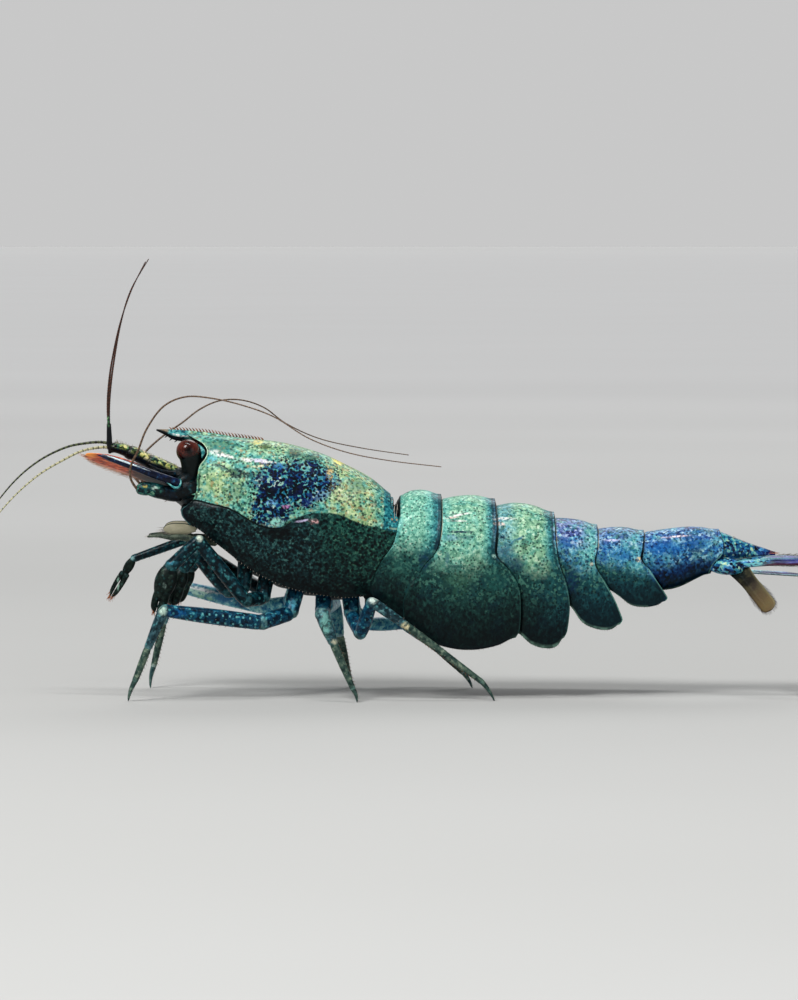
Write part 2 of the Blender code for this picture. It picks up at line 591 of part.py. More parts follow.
def claw_arm(number, side, joints, palm_half, finger_spread):
    """A claw leg: arm, broad palm, fixed finger, and a second finger fused beside it."""
    name = f"claw_{number}_{SIDE_NAMES[side]}"
    root, out = leg_root(number, side)
    arm = bend_points([(root, 0.36)] + joints[:-2])
    wrist, palm, tip = Vector(joints[-3][0]), Vector(joints[-2]), Vector(joints[-1])
    way = (tip - palm).normalized()
    beside = way.cross(ACROSS_BODY).normalized() * finger_spread
    thin = 0.27
    arm += [(wrist.lerp(palm, 0.35), (thin, 0.85 * palm_half)), (wrist.lerp(palm, 0.75), (thin, palm_half)),
            (palm + beside * 0.3, (thin, 0.72 * palm_half)), (palm.lerp(tip, 0.35) + beside, (0.25, 0.25)),
            (palm.lerp(tip, 0.8) + beside, (0.22, 0.2)), (tip + beside * 0.6, (0.12, 0.1))]
    fixed = swept(name, arm, "claw", turned_ends=(out, None))
    start = wrist.lerp(palm, 0.6)
    moving = swept(name + "_finger", [(start, (0.2, 0.18)), (palm - beside * 0.6, (0.24, 0.26)),
                                      (palm.lerp(tip, 0.4) - beside, (0.25, 0.24)),
                                      (palm.lerp(tip, 0.8) - beside, (0.21, 0.19)),
                                      (tip - beside * 0.6, (0.11, 0.1))], "claw")
    return fuse(fixed, [moving])


def walking_leg(number, side, joints, across=ACROSS_BODY):
    """A walking leg that ends in a small flat on the floor."""
    foot = joints[-1]
    root, out = leg_root(number, side)
    path = bend_points([(root, 0.38)] + joints[:-1] + [(foot, FOOT_RADIUS)])
    return swept(f"leg_{number}_{SIDE_NAMES[side]}", path, "leg", across=across, turned_ends=(out, DOWN))


def legs():
    claw_arm(1, LEFT, [((-6.62, -0.95, 4.85), 0.33), ((-7.35, -1.15, 4.75), 0.33), ((-8.75, -1.3, 6.45), 0.3),
                       ((-9.3, -1.35, 5.72), 0.3), (-9.62, -1.38, 4.92), (-9.82, -1.4, 4.2)], 0.42, 0.24)
    claw_arm(1, RIGHT, [((-6.62, 0.95, 4.85), 0.33), ((-7.3, 1.1, 4.75), 0.33), ((-8.5, 1.2, 6.25), 0.3),
                        ((-9.08, 1.25, 5.6), 0.3), (-9.45, 1.28, 4.85), (-9.68, 1.3, 4.15)], 0.42, 0.24)
    claw_arm(2, LEFT, [((-5.75, -1.25, 4.45), 0.33), ((-6.5, -2.0, 4.4), 0.33), ((-8.6, -2.3, 7.1), 0.3),
                       ((-9.68, -2.35, 5.9), 0.34), (-10.2, -2.38, 4.7), (-10.45, -2.4, 3.92)], 0.56, 0.26)
    claw_arm(2, RIGHT, [((-5.8, 1.3, 4.6), 0.33), ((-6.5, 2.0, 4.98), 0.33), ((-9.36, 2.2, 6.84), 0.28),
                        ((-11.75, 2.2, 5.98), 0.27), (-12.25, 2.25, 5.15), (-12.72, 2.3, 4.25)], 0.3, 0.24)
    walking_leg(3, LEFT, [((-4.5, -1.5, 3.8), 0.38), ((-5.8, -2.4, 3.43), 0.38), ((-10.1, -3.25, 4.03), 0.36),
                          ((-10.8, -3.4, 2.38), 0.27), ((-11.38, -3.45, 0.9), 0.25), (-11.68, -3.45, 0.0)])
    walking_leg(3, RIGHT, [((-4.6, 1.6, 4.0), 0.38), ((-5.8, 2.3, 3.8), 0.38), ((-9.85, 3.1, 4.72), 0.36),
                           ((-10.4, 3.3, 3.0), 0.27), ((-10.85, 3.4, 1.0), 0.25), (-11.0, 3.4, 0.0)])
    walking_leg(4, LEFT, [((-3.05, -1.6, 3.85), 0.36), ((-3.06, -3.6, 3.85), 0.34),
                          ((-2.55, -3.85, 2.62), 0.27), ((-1.68, -4.05, 0.6), 0.25),
                          (-1.5, -4.1, 0.0)], across=ALONG_BODY)
    walking_leg(4, RIGHT, [((-2.95, 1.6, 3.8), 0.36), ((-2.6, 3.5, 3.9), 0.34), ((-2.35, 3.8, 2.4), 0.27),
                           ((-1.95, 4.0, 0.6), 0.25), (-1.85, 4.05, 0.0)], across=ALONG_BODY)
    walking_leg(5, LEFT, [((-1.75, -1.35, 3.7), 0.36), ((-1.35, -2.4, 2.92), 0.34),
                          ((-0.84, -3.3, 4.42), 0.33), ((0.63, -3.4, 3.4), 0.28),
                          ((4.05, -3.3, 0.85), 0.25), (4.6, -3.3, 0.0)])
    walking_leg(5, RIGHT, [((-1.7, 1.4, 3.7), 0.36), ((-1.1, 2.4, 3.0), 0.34), ((0.55, 3.3, 2.95), 0.32),
                           ((1.95, 3.4, 1.95), 0.27), ((3.3, 3.4, 0.7), 0.25), (3.7, 3.4, 0.0)])


# Swimming legs: root x, distance from the middle, root height and length, ring by ring.
SWIMMERET_X = [0.32, 3.0, 6.1, 8.35, 10.35]
SWIMMERET_Y = [0.8, 0.82, 0.78, 0.66, 0.48]
SWIMMERET_LENGTH = [1.1, 1.9, 1.85, 1.35, 0.95]


def swimmerets():
    for k in range(5):
        top = SHELL_RINGS[k]["belly"] - GAP
        x, length = SWIMMERET_X[k], SWIMMERET_LENGTH[k]
        for side, word in SIDE_NAMES.items():
            y = side * SWIMMERET_Y[k]
            spread = Vector((0, 0.24, 0)) if k < 4 else Vector((0.24, 0, 0))
            name = f"pleopod_{k + 1}_{word}"
            stem = swept(name, [
                (Vector((x, y, top)), (0.3, 0.3)), (Vector((x + 0.05, y, top - 0.4 * length)), (0.28, 0.27)),
                (Vector((x + 0.2, y, top - 0.6 * length)) + spread, (0.26, 0.26)),
                (Vector((x + 0.42, y, top - 0.82 * length)) + spread, (0.25, 0.25)),
                (Vector((x + 0.6, y, top - length)) + spread, (0.13, 0.13))], "swimmeret", sides=6)
            fuse(stem, [swept("branch", [
                (Vector((x + 0.03, y, top - 0.3 * length)), (0.14, 0.14)),
                (Vector((x + 0.17, y, top - 0.62 * length)) - spread, (0.25, 0.25)),
                (Vector((x + 0.38, y, top - 0.84 * length)) - spread, (0.24, 0.24)),
                (Vector((x + 0.52, y, top - 1.04 * length)) - spread, (0.12, 0.12))], "swimmeret", sides=6)])


clear_scene()
carapace()
sternum()
head()
pleon()
telson()
tail_fan()
eyes()
feelers()
mouthparts()
legs()
swimmerets()
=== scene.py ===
"""Looks of the blue bolt shrimp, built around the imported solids.

Sizes are in millimetres, in the frame of the solids: the head points to -X, the left side
to -Y, and the animal stands on z = 0. Every shape is a mesh worked out from named sizes.
"""

import math
import random

import bmesh
import bpy
import numpy as np
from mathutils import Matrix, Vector


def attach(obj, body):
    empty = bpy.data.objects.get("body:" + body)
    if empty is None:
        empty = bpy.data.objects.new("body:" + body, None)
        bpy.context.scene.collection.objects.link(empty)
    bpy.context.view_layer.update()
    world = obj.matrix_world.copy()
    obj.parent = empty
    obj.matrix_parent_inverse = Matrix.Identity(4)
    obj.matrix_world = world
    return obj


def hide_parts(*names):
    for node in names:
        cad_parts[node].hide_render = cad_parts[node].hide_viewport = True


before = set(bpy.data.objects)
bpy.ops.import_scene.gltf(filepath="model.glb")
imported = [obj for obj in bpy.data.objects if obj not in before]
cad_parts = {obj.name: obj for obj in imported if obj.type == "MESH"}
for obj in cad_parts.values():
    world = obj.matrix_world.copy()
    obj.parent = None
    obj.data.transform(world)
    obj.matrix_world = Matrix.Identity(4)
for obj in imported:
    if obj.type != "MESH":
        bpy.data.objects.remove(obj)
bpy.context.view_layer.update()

MM = 0.001
LEFT, RIGHT = -1, 1
SIDES = {LEFT: "left", RIGHT: "right"}
UP = np.array((0.0, 0.0, 1.0))
ACROSS = np.array((0.0, 1.0, 0.0))
ALONG = np.array((1.0, 0.0, 0.0))
draws = random.Random(7)
COAT_ROUGHNESS = 0.08
COAT_IOR = 1.4
SHADED = 0.6  # share of their colour that the shaded parts of bristles keep

# Lines between neighbouring shell rings, from the lower edge to the back, as (x, z).
SEAMS = [
    [(-0.75, 4.45), (-0.95, 4.95), (-0.55, 6.05), (0.05, 6.95), (0.28, 7.9), (0.3, 8.8)],
    [(0.72, 3.42), (0.7, 4.4), (1.05, 5.2), (1.4, 5.95), (2.0, 6.65), (2.2, 7.6), (2.2, 8.9)],
    [(5.7, 2.75), (5.78, 3.8), (5.7, 4.9), (5.2, 5.8), (4.62, 6.5), (4.68, 7.6), (4.62, 8.7)],
    [(7.86, 2.9), (7.98, 4.1), (7.8, 5.1), (7.46, 6.1), (7.33, 7.0), (7.28, 8.1)],
    [(10.37, 3.5), (10.0, 4.4), (9.5, 5.25), (9.08, 6.0), (9.2, 6.75), (9.22, 7.5)],
    [(12.4, 4.45), (12.05, 5.0), (11.55, 5.7), (11.15, 6.2), (11.22, 6.7), (11.32, 7.3)],
    [(14.25, 5.45), (14.45, 5.95), (14.82, 6.4), (14.88, 6.85), (14.7, 7.45)],
]
# Each ring: back and lower edge as heights at even steps, half-widths, belly height,
# share of the height where it is widest, and how far the lower edge tucks in.
RINGS = [
    dict(back=[8.95, 9.22, 9.22, 9.02], edge=[4.15, 3.85, 3.6, 3.45], widths=(2.15, 2.3), belly=5.4,
        waist=0.52, tuck=0.06),
    dict(back=[8.82, 8.93, 8.95, 8.82], edge=[3.35, 2.6, 2.27, 2.2, 2.38, 2.75], widths=(2.35, 2.4),
        belly=4.75, waist=0.55, tuck=0.04),
    dict(back=[8.52, 8.62, 8.5, 8.22], edge=[2.9, 2.46, 2.27, 2.3, 2.72], widths=(2.25, 2.15), belly=4.75,
        waist=0.54, tuck=0.04),
    dict(back=[7.98, 7.92, 7.82, 7.66], edge=[4.15, 3.42, 3.12, 3.06, 3.3], widths=(2.0, 1.85), belly=5.0,
        waist=0.52, tuck=0.05),
    dict(back=[7.48, 7.52, 7.5, 7.4], edge=[4.85, 4.2, 4.06, 4.12, 4.32], widths=(1.7, 1.5), belly=5.45,
        waist=0.5, tuck=0.05),
    dict(back=[7.34, 7.46, 7.56, 7.57, 7.45], edge=[4.78, 4.84, 5.0, 5.25, 5.5], widths=(1.3, 0.95),
        belly=5.6, waist=0.5, tuck=0.35),
]
CARAPACE = dict(
    back=[11.76, 11.68, 11.54, 11.33, 10.95, 10.47, 9.82, 8.9],
    edge=[7.75, 6.85, 6.0, 5.35, 4.92, 4.65, 4.52, 4.6],
    widths=[1.55, 1.95, 2.2, 2.38, 2.45, 2.45, 2.35, 2.15], waist=0.44, tuck=0.13,
)
CARAPACE_FRONT = [
    (-9.0, 7.72), (-9.33, 8.1), (-9.38, 8.42), (-9.15, 8.62), (-8.84, 8.9), (-8.7, 9.3), (-8.67, 9.85),
    (-8.57, 10.36), (-8.33, 10.7), (-8.23, 11.0), (-8.42, 11.33), (-8.8, 11.55), (-9.2, 11.75),
]
VAULT = 1.15  # depth of the hollow under the carapace
FLAP = 0.16  # thickness of the side flaps
LIP = 0.08  # reach of the rolled rear rims
CORNER = 0.14  # how far the rear lower corners of the flaps are rounded back
CORNER_SHARE = 0.07  # share of the height that the rounding takes

ROSTRUM_UPPER = [
    (-10.55, 11.97), (-9.86, 11.96), (-9.2, 11.92), (-8.5, 11.86), (-7.8, 11.76), (-7.1, 11.62),
    (-6.5, 11.35), (-6.0, 10.9),
]
ROSTRUM_LOWER = [
    (-10.55, 11.9), (-10.2, 11.72), (-9.8, 11.5), (-9.4, 11.42), (-8.9, 11.4), (-8.3, 11.35),
    (-7.2, 10.9), (-6.0, 10.3),
]
ROSTRUM_TEETH = 29
LOWER_TEETH = 3
BACK_FROM, BACK_LENGTH = -8.5, 8.8  # reach of the back of the shield along x

EYE_CENTRE = np.array((-9.09, 1.12, 11.03))
EYE_RADIUS = 0.53
SHORT_WHIP = (0.08, 0.022)  # radius at the root and at the tip
LONG_WHIP = (0.07, 0.02)
LEG_ROOT_X = {1: -6.5, 2: -5.5, 3: -4.1, 4: -3.0, 5: -1.9}
LEG_ROOT_Y = {1: 0.78, 2: 0.9, 3: 0.92, 4: 0.92, 5: 0.88}
KEEL_LIFT = 0.15  # of the underside above the edge of the shell
KEEL_FROM, KEEL_LENGTH, KEEL_HALF = -8.45, 7.5, 1.2
LEG_ROOT_RADIUS = 0.36
LEG_ROOT_RISE = 0.3
# The sagging underside is near-black and stands in for the shade between the shell and the legs.
KEEL_SAG = 0.42  # how far the furrowed underside hangs below the shell where the legs grow
CHEEK_GROOVE = [(-7.9, 10.47), (-7.78, 10.44), (-7.53, 10.38), (-7.28, 10.23), (-7.1, 10.05), (-6.9, 9.9)]
GROOVE = [
    (-8.65, 8.83), (-8.1, 8.7), (-7.53, 8.59), (-7.15, 8.47), (-6.73, 8.25), (-6.36, 8.02), (-6.0, 7.82),
    (-5.46, 7.65), (-4.9, 7.66), (-4.5, 7.95), (-4.1, 8.16), (-3.6, 8.32), (-2.9, 8.34), (-2.33, 8.28),
    (-1.89, 8.1), (-1.25, 7.84), (-0.62, 7.69), (0.1, 7.5),
]


# Lines and numbers

def smooth(points, count=None, shares=None):
    """Points of a smooth line through points (Catmull-Rom), at even or given shares of its steps."""
    points = np.asarray(points, float)
    flat = points.ndim == 1
    if flat:
        points = points[:, None]
    last = len(points) - 1
    shares = np.linspace(0, 1, count) if shares is None else np.atleast_1d(shares)
    place = np.clip(shares, 0, 1) * last
    i = np.minimum(place.astype(int), last - 1)
    u = (place - i)[:, None]
    before, a = points[np.maximum(i - 1, 0)], points[i]
    b, after = points[i + 1], points[np.minimum(i + 2, last)]
    line = 0.5 * (2 * a + (b - before) * u + (2 * before - 5 * a + 4 * b - after) * u**2
        + (3 * a - before - 3 * b + after) * u**3)
    return line[:, 0] if flat else line


def line_at_height(points):
    """A function that gives x at a height on a line of (x, z) places."""
    line = smooth(points, 160)
    order = np.argsort(line[:, 1])
    return lambda z: np.interp(z, line[order, 1], line[order, 0])


def unit(vector):
    vector = np.asarray(vector, float)
    return vector / np.linalg.norm(vector)


def run_of(points):
    """How far each point is along its line."""
    return np.concatenate([[0], np.cumsum(np.linalg.norm(np.diff(points, axis=0), axis=1))])


def point_at(place, run, points):
    """The point of a line at a place on its run."""
    return np.array([np.interp(place, run, points[:, i]) for i in range(3)])


def joint_list(rows):
    """Rows of x, y, z and radius as pairs of a place and its radius."""
    return [(np.array(row[:3]), row[3]) for row in rows]


def mirrored(side, points):
    """Points given for the right side, on the side asked for."""
    return np.array(points, float) * (1, side, 1)


def squared(value, power):
    """A sine or cosine pushed outwards, for rings that are nearly boxes."""
    return np.sign(value) * np.abs(value) ** power


def circle(count):
    """Even turns round a full circle, without the last one."""
    return np.linspace(0, 2 * math.pi, count, endpoint=False)


def bump(value, centre, width):
    return np.exp(-((value - centre) / width) ** 2)


def ramp(value, low, high):
    """0 below low, 1 above high, smooth between."""
    share = np.clip((value - low) / (high - low), 0, 1)
    return share * share * (3 - 2 * share)


# Mesh making

class Form:
    """Points in millimetres, faces and marks of one piece, gathered part by part."""

    def __init__(self):
        self.points, self.faces, self.looks, self.marks = [], [], [], []
        self.count = 0

    def grid(self, rows, caps="flat", look=0, **marks):
        """Skins rows of points that each run round in a ring.

        caps is flat, strip where the second half of each ring runs back under the first, or none.
        """
        rows = np.asarray(rows, float)
        steps, around = rows.shape[:2]
        index = self.count + np.arange(steps * around).reshape(steps, around)
        ahead = np.roll(index, -1, 1)
        quads = np.stack([index[:-1], ahead[:-1], ahead[1:], index[1:]], -1).reshape(-1, 4)
        faces = [tuple(q) for q in quads.tolist()]
        for end in (index[0], index[-1]):
            if caps == "flat":
                faces.append(tuple(end.tolist()))
            elif caps == "strip":
                half = around // 2
                faces += [(int(end[k]), int(end[k + 1]), int(end[around - 2 - k]),
                    int(end[around - 1 - k])) for k in range(half - 1)]
        self.points.append(rows.reshape(-1, 3))
        self.faces += faces
        self.looks += [look] * len(faces)
        self.marks.append((self.count, steps * around,
            {k: np.broadcast_to(v, (steps, around)).reshape(-1) for k, v in marks.items()}))
        self.count += steps * around
        return rows

    def piece(self, name, nodes, looks):
        """Makes the object, which rides the body and stands for its solids."""
        mesh = bpy.data.meshes.new(name)
        mesh.from_pydata(np.concatenate(self.points) * MM, [], self.faces)
        for mark in sorted({m for _, _, marks in self.marks for m in marks}):
            values = np.zeros(self.count, np.float32)
            for start, size, marks in self.marks:
                if mark in marks:
                    values[start:start + size] = marks[mark]
            mesh.attributes.new(mark, "FLOAT", "POINT").data.foreach_set("value", values)
        for look in looks:
            mesh.materials.append(LOOKS[look])
        mesh.polygons.foreach_set("material_index", self.looks)
        shell = bmesh.new()
        shell.from_mesh(mesh)
        bmesh.ops.recalc_face_normals(shell, faces=shell.faces)
        shell.to_mesh(mesh)
        shell.free()
        mesh.shade_smooth()
        made = bpy.data.objects.new(name, mesh)
        bpy.context.scene.collection.objects.link(made)
        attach(made, "root")
        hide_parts(*nodes)
        return made


def domed(path, radii, steps=3, depth=0.75):
    """A tube's path and radii with a dome added at each end."""
    turn = np.linspace(0, math.pi / 2, steps + 1)[1:]
    reach, shrink = np.sin(turn)[:, None] * depth, np.maximum(np.cos(turn), 0.08)
    first, last = unit(path[0] - path[1]), unit(path[-1] - path[-2])
    head = (path[0] + first * radii[0] * reach)[::-1]
    tail = path[-1] + last * radii[-1] * reach
    radii = np.concatenate([(radii[0] * shrink)[::-1], radii, radii[-1] * shrink])
    return np.concatenate([head, path, tail]), radii


def tube(form, path, radii, sides=12, across=ACROSS, flat=1.0, dome=True, look=0, **marks):
    """A closed tube; flat squeezes it square to across. Marks are one value, or one for each point."""
    path = np.asarray(path, float)
    radii = np.broadcast_to(np.asarray(radii, float), len(path))
    flat = np.broadcast_to(np.asarray(flat, float), len(path))
    marks = {k: np.broadcast_to(np.asarray(v, float), len(path)) for k, v in marks.items()}
    if dome:
        extra = 3
        path, radii = domed(path, radii, extra)
        flat = np.pad(flat, extra, mode="edge")
        marks = {k: np.pad(v, extra, mode="edge") for k, v in marks.items()}
    ahead = np.gradient(path, axis=0)
    ahead /= np.linalg.norm(ahead, axis=1)[:, None]
    side = across - ahead * (ahead @ across)[:, None]
    side /= np.linalg.norm(side, axis=1)[:, None]
    rise = np.cross(ahead, side)
    turn = circle(sides)
    ring = (np.cos(turn)[None, :, None] * side[:, None] + (flat[:, None] * np.sin(turn))[..., None]
        * rise[:, None])
    form.grid(path[:, None] + radii[:, None, None] * ring, look=look,
        **{k: v[:, None] for k, v in marks.items()})


def stem(form, points, radii, count, **options):
    """A tube through a few points, each with its radius."""
    tube(form, smooth(points, count), smooth(radii, count), **options)


def hair(form, root, way, length, radius=0.011, bend=(0, 0, 0), look=0, **marks):
    """One tapered three-sided bristle."""
    u = np.array([0, 0.35, 0.7, 1.0])[:, None]
    way = unit(way)
    path = np.asarray(root) + way * length * u + np.asarray(bend) * length * u**2
    across = ACROSS if abs(way[1]) < 0.8 else ALONG
    tube(form, path, radius * np.array([1, 0.85, 0.55, 0.12]), sides=3, across=across, dome=False,
        look=look, **marks)


def segment(form, a, b, radius_a, radius_b, bow=(0, 0, 0), swell=0.0, flat=1.0, across=ACROSS, look=0,
        sides=18, **marks):
    """One length of a limb: a narrow root, a flared far end and a soft swelling between."""
    a, b = np.asarray(a, float), np.asarray(b, float)
    length = np.linalg.norm(b - a)
    u = np.linspace(0, 1, max(int(length / 0.07), 10))
    path = a + (b - a) * u[:, None] + np.asarray(bow, float) * np.sin(math.pi * u)[:, None]
    radii = radius_a + (radius_b - radius_a) * u + swell * np.sin(math.pi * u)
    radii *= 1 - 0.14 * bump(u * length, 0, 0.08) + 0.07 * bump(u * length, length - 0.1, 0.08)
    joint = 0.3 * bump(u * length, 0.03, 0.04) + 0.7 * bump(u * length, length - 0.03, 0.045)
    tube(form, path, radii, sides=sides, across=across, flat=flat, look=look, joint=joint, along=u,
        **marks)
    return path, radii


def leaf(form, root, tip, across, half_width, thick=0.07, bow=0.0, rib=0.05, rib_at=0.0, curl=0.0, look=0,
        steps=44, root_share=0.4, round_from=0.62, blunt=2.4):
    """A thin fin from root to tip with a raised rib; returns its rim points and their outward ways."""
    root, tip = np.asarray(root, float), np.asarray(tip, float)
    way = unit(tip - root)
    side = unit(np.asarray(across, float) - way * np.dot(across, way))
    rise = np.cross(way, side)
    if rise[2] < 0:
        rise = -rise
    u = np.sin(np.linspace(0, math.pi / 2, steps))
    width = half_width * (root_share + (1 - root_share) * np.sin(math.pi / 2 * np.minimum(u / 0.42, 1)))
    width *= np.sqrt(np.maximum(1 - (np.maximum(u - round_from, 0) / (1 - round_from)) ** blunt, 0.0006))
    centre = root + (tip - root) * u[:, None] + rise * (bow * np.sin(math.pi * u))[:, None]
    a = np.sin(np.linspace(-math.pi / 2, math.pi / 2, 29))
    edge = np.maximum(1 - a**2, 0) ** 0.35
    fade = np.clip((1 - u) * 5, 0, 1)[:, None]
    ridge = rib * bump(a, rib_at, 0.1) * fade + 0.2 * rib * np.cos(a * 16) ** 8 * edge
    top = 0.5 * thick * edge + ridge
    low = -0.5 * thick * edge * np.ones((len(u), 1))
    sag = curl * a**2
    upper = centre[:, None] + side * (width[:, None] * a)[..., None] + rise * (top + sag)[..., None]
    lower = centre[:, None] + side * (width[:, None] * a)[..., None] + rise * (low + sag)[..., None]
    rows = np.concatenate([upper, lower[:, -2:0:-1]], 1)
    share = np.concatenate([a, a[-2:0:-1]])
    vein = bump(share, rib_at, 0.09)[None] * ramp(1 - u, 0.05, 0.4)[:, None]
    form.grid(rows, look=look, along=u[:, None], rim=np.abs(share)[None] ** 8, flank=share[None],
        vein=vein)
    rims = [(upper[:, 0], -side), (upper[:, -1], side)]
    return [(points, out, way, u) for points, out in rims]


def fringe(form, rims, spacing, length, start=0.35, radius=0.011, look=1, lean=0.9, sides=(0, 1)):
    """Bristles along the rim of a leaf, leaning towards its tip."""
    for k in sides:
        points, out, way, u = rims[k]
        run = run_of(points)
        for place in np.arange(spacing / 2, run[-1], spacing):
            at = point_at(place, run, points)
            share = np.interp(place, run, u)
            if share < start:
                continue
            grow = ramp(share, start - 0.05, start + 0.25)
            outward = out * (1 - 0.75 * ramp(share, 0.75, 1.0)) + way * (lean + 1.2
                * ramp(share, 0.7, 1.0))
            jitter = np.array([draws.uniform(-0.12, 0.12) for _ in range(3)])
            hair(form, at - out * 0.01, unit(outward) + jitter, length * grow * draws.uniform(0.8, 1.1),
                radius, bend=way * 0.15, look=look)


# Node materials

def linear(colour):
    """A colour on the 0-255 screen scale, as the linear values that shaders take."""
    return tuple((c / 255 / 12.92) if c <= 10 else ((c / 255 + 0.055) / 1.055) ** 2.4 for c in colour)


class Value:
    """A socket of a material, which takes sums, products and further coats of colour."""

    def __init__(self, look, socket):
        self.look, self.socket = look, socket

    def __add__(self, other):
        return self.look.math("ADD", self, other)

    def __radd__(self, other):
        return self.look.math("ADD", other, self)

    def __sub__(self, other):
        return self.look.math("SUBTRACT", self, other)

    def __rsub__(self, other):
        return self.look.math("SUBTRACT", other, self)

    def __mul__(self, other):
        return self.look.math("MULTIPLY", self, other)

    def __abs__(self):
        return self.look.math("ABSOLUTE", self)

    def lay(self, share, colour):
        """Covers this colour with another one as far as share says."""
        self.socket = self.look.mix(share, self, colour).socket


class Look:
    """A material made of nodes; each call returns a Value, and places are in millimetres."""

    def __init__(self, name, roughness=0.35, metallic=0.0, coat=0.0, specular=0.15):
        self.material = bpy.data.materials.new(name)
        self.material.use_nodes = True
        self.tree = self.material.node_tree
        self.shader = self.tree.nodes["Principled BSDF"]
        constants = {"Roughness": roughness, "Metallic": metallic, "Coat Weight": coat,
            "Coat Roughness": COAT_ROUGHNESS, "Coat IOR": COAT_IOR, "Specular IOR Level": specular}
        for key, value in constants.items():
            self.shader.inputs[key].default_value = value
        place = self.node("TexCoord", out="Object")
        self.place = self.node("VectorMath", {0: place, "Scale": 1 / MM}, operation="SCALE")
        split = self.tree.nodes.new("ShaderNodeSeparateXYZ")
        self.plug(split.inputs[0], self.place)
        self.x, self.y, self.z = [Value(self, axis) for axis in split.outputs]

    def node(self, kind, inputs=None, out=0, **settings):
        made = self.tree.nodes.new("ShaderNode" + kind)
        for key, value in settings.items():
            setattr(made, key, value)
        for key, value in (inputs or {}).items():
            self.plug(made.inputs[key], value)
        return Value(self, made.outputs[out])

    def plug(self, socket, value):
        if isinstance(value, Value):
            self.tree.links.new(value.socket, socket)
        elif socket.type == "RGBA" and len(value) == 3:
            socket.default_value = (*linear(value), 1.0)
        else:
            socket.default_value = value

    def math(self, operation, a, b=0.0):
        return self.node("Math", {0: a, 1: b, 2: 0.0}, operation=operation)

    def most(self, a, b):
        return self.math("MAXIMUM", a, b)

    def step(self, value, low, high):
        """0 to 1 as value goes from low to high, which may be the smaller one."""
        if low > high:
            return 1.0 - self.step(value, high, low)
        return self.node("MapRange", {0: value, 1: low, 2: high, 3: 0.0, 4: 1.0},
            interpolation_type="SMOOTHSTEP")

    def band(self, value, low, high, soft):
        """1 between low and high, fading over soft outside them."""
        return self.step(value, low - soft, low) * self.step(value, high + soft, high)

    def mix(self, share, a, b, blend="MIX"):
        return self.node("Mix", {0: share, 6: a, 7: b}, out=2, data_type="RGBA", blend_type=blend)

    def noise(self, scale, detail=2.0, rough=0.55, vector=None):
        return self.node("TexNoise", {"Vector": vector or self.place, "Scale": scale, "Detail": detail,
            "Roughness": rough})

    def clouds(self, scale, detail, low, high):
        """Soft patches: noise from low to high."""
        return self.step(self.noise(scale, detail), low, high)

    def drift(self, scale, amount, detail=3.0):
        """A soft wander around 0, about amount wide."""
        return (self.noise(scale, detail, 0.6) - 0.5) * (4 * amount)

    def cells(self, scale, vector=None, out=0):
        return self.node("TexVoronoi", {"Vector": vector or self.place, "Scale": scale}, out=out)

    def tones(self, scale, vector=None):
        """One random value for each cell."""
        return self.node("SeparateColor", {0: self.cells(scale, vector, out=1)})

    def grain(self, scale, cell_share=0.5, vector=None):
        """Crisp small grains with a soft wander between them, spread around one half."""
        soft = self.noise(scale * 0.7, 3.0, 0.65, vector)
        return (self.tones(scale, vector) - 0.5) * cell_share + soft

    def speckle(self, scale, reach, soft=0.07, ragged=0.5):
        """Small ragged dots, about one in each cell; reach sets how far they spread."""
        wander = (self.noise(scale * 1.3, 2.0) - 0.5) * ragged
        return self.step(self.cells(scale) + wander - reach, soft, -soft)

    def stretched(self, x, y, z):
        """Places scaled along each axis, for grain that runs one way."""
        return self.node("VectorMath", {0: self.place, 1: (x, y, z)}, operation="MULTIPLY")

    def stops(self, value, low, high, stops, mode="EASE"):
        """A colour or grey by value: stops are (value, colour), from low to high."""
        share = self.node("MapRange", {0: value, 1: low, 2: high, 3: 0.0, 4: 1.0})
        made = self.tree.nodes.new("ShaderNodeValToRGB")
        made.color_ramp.interpolation = mode
        self.plug(made.inputs[0], share)
        table = made.color_ramp.elements
        while len(table) < len(stops):
            table.new(0.5)
        for element, (at, colour) in zip(table, stops):
            element.position = (at - low) / (high - low)
        for element, (at, colour) in zip(table, stops):
            element.color = (colour,) * 3 + (1,) if isinstance(colour,
                (int, float)) else (*linear(colour), 1)
        return Value(self, made.outputs[0])

    def palette(self, field, colours, low=0.1, high=0.9):
        """Colours in even steps of a grain field, darkest first."""
        pitch = (high - low) / (len(colours) - 1)
        return self.stops(field, low, high, [(low + pitch * k, c) for k, c in enumerate(colours)],
            mode="LINEAR")

    def height_line(self, points, top=12.0):
        """Height of a line of (x, z) places at each x."""
        low, high = points[0][0], points[-1][0]
        return self.stops(self.x, low - 0.01, high + 0.01, [(x, z / top) for x, z in points],
            mode="CARDINAL") * top

    def mark(self, name):
        return self.node("Attribute", out=2, attribute_name=name)

    def oval(self, x, z, wide, high, wobble=None, slope=0.0):
        """Distance from an oval's middle in the side view, 1 on its outline; wobble bends the outline."""
        dx = self.x - x
        dz = self.z - z
        if slope:
            dz = dz - dx * slope
        dx, dz = dx * (1 / wide), dz * (1 / high)
        reach = self.math("SQRT", dx * dx + dz * dz)
        return reach if wobble is None else reach + wobble

    def spot(self, x, z, wide, high, soft=0.35, wobble=None, slope=0.0):
        """1 inside an oval in the side view, fading over its soft share."""
        return self.step(self.oval(x, z, wide, high, wobble, slope), 1 + soft, 1 - soft)

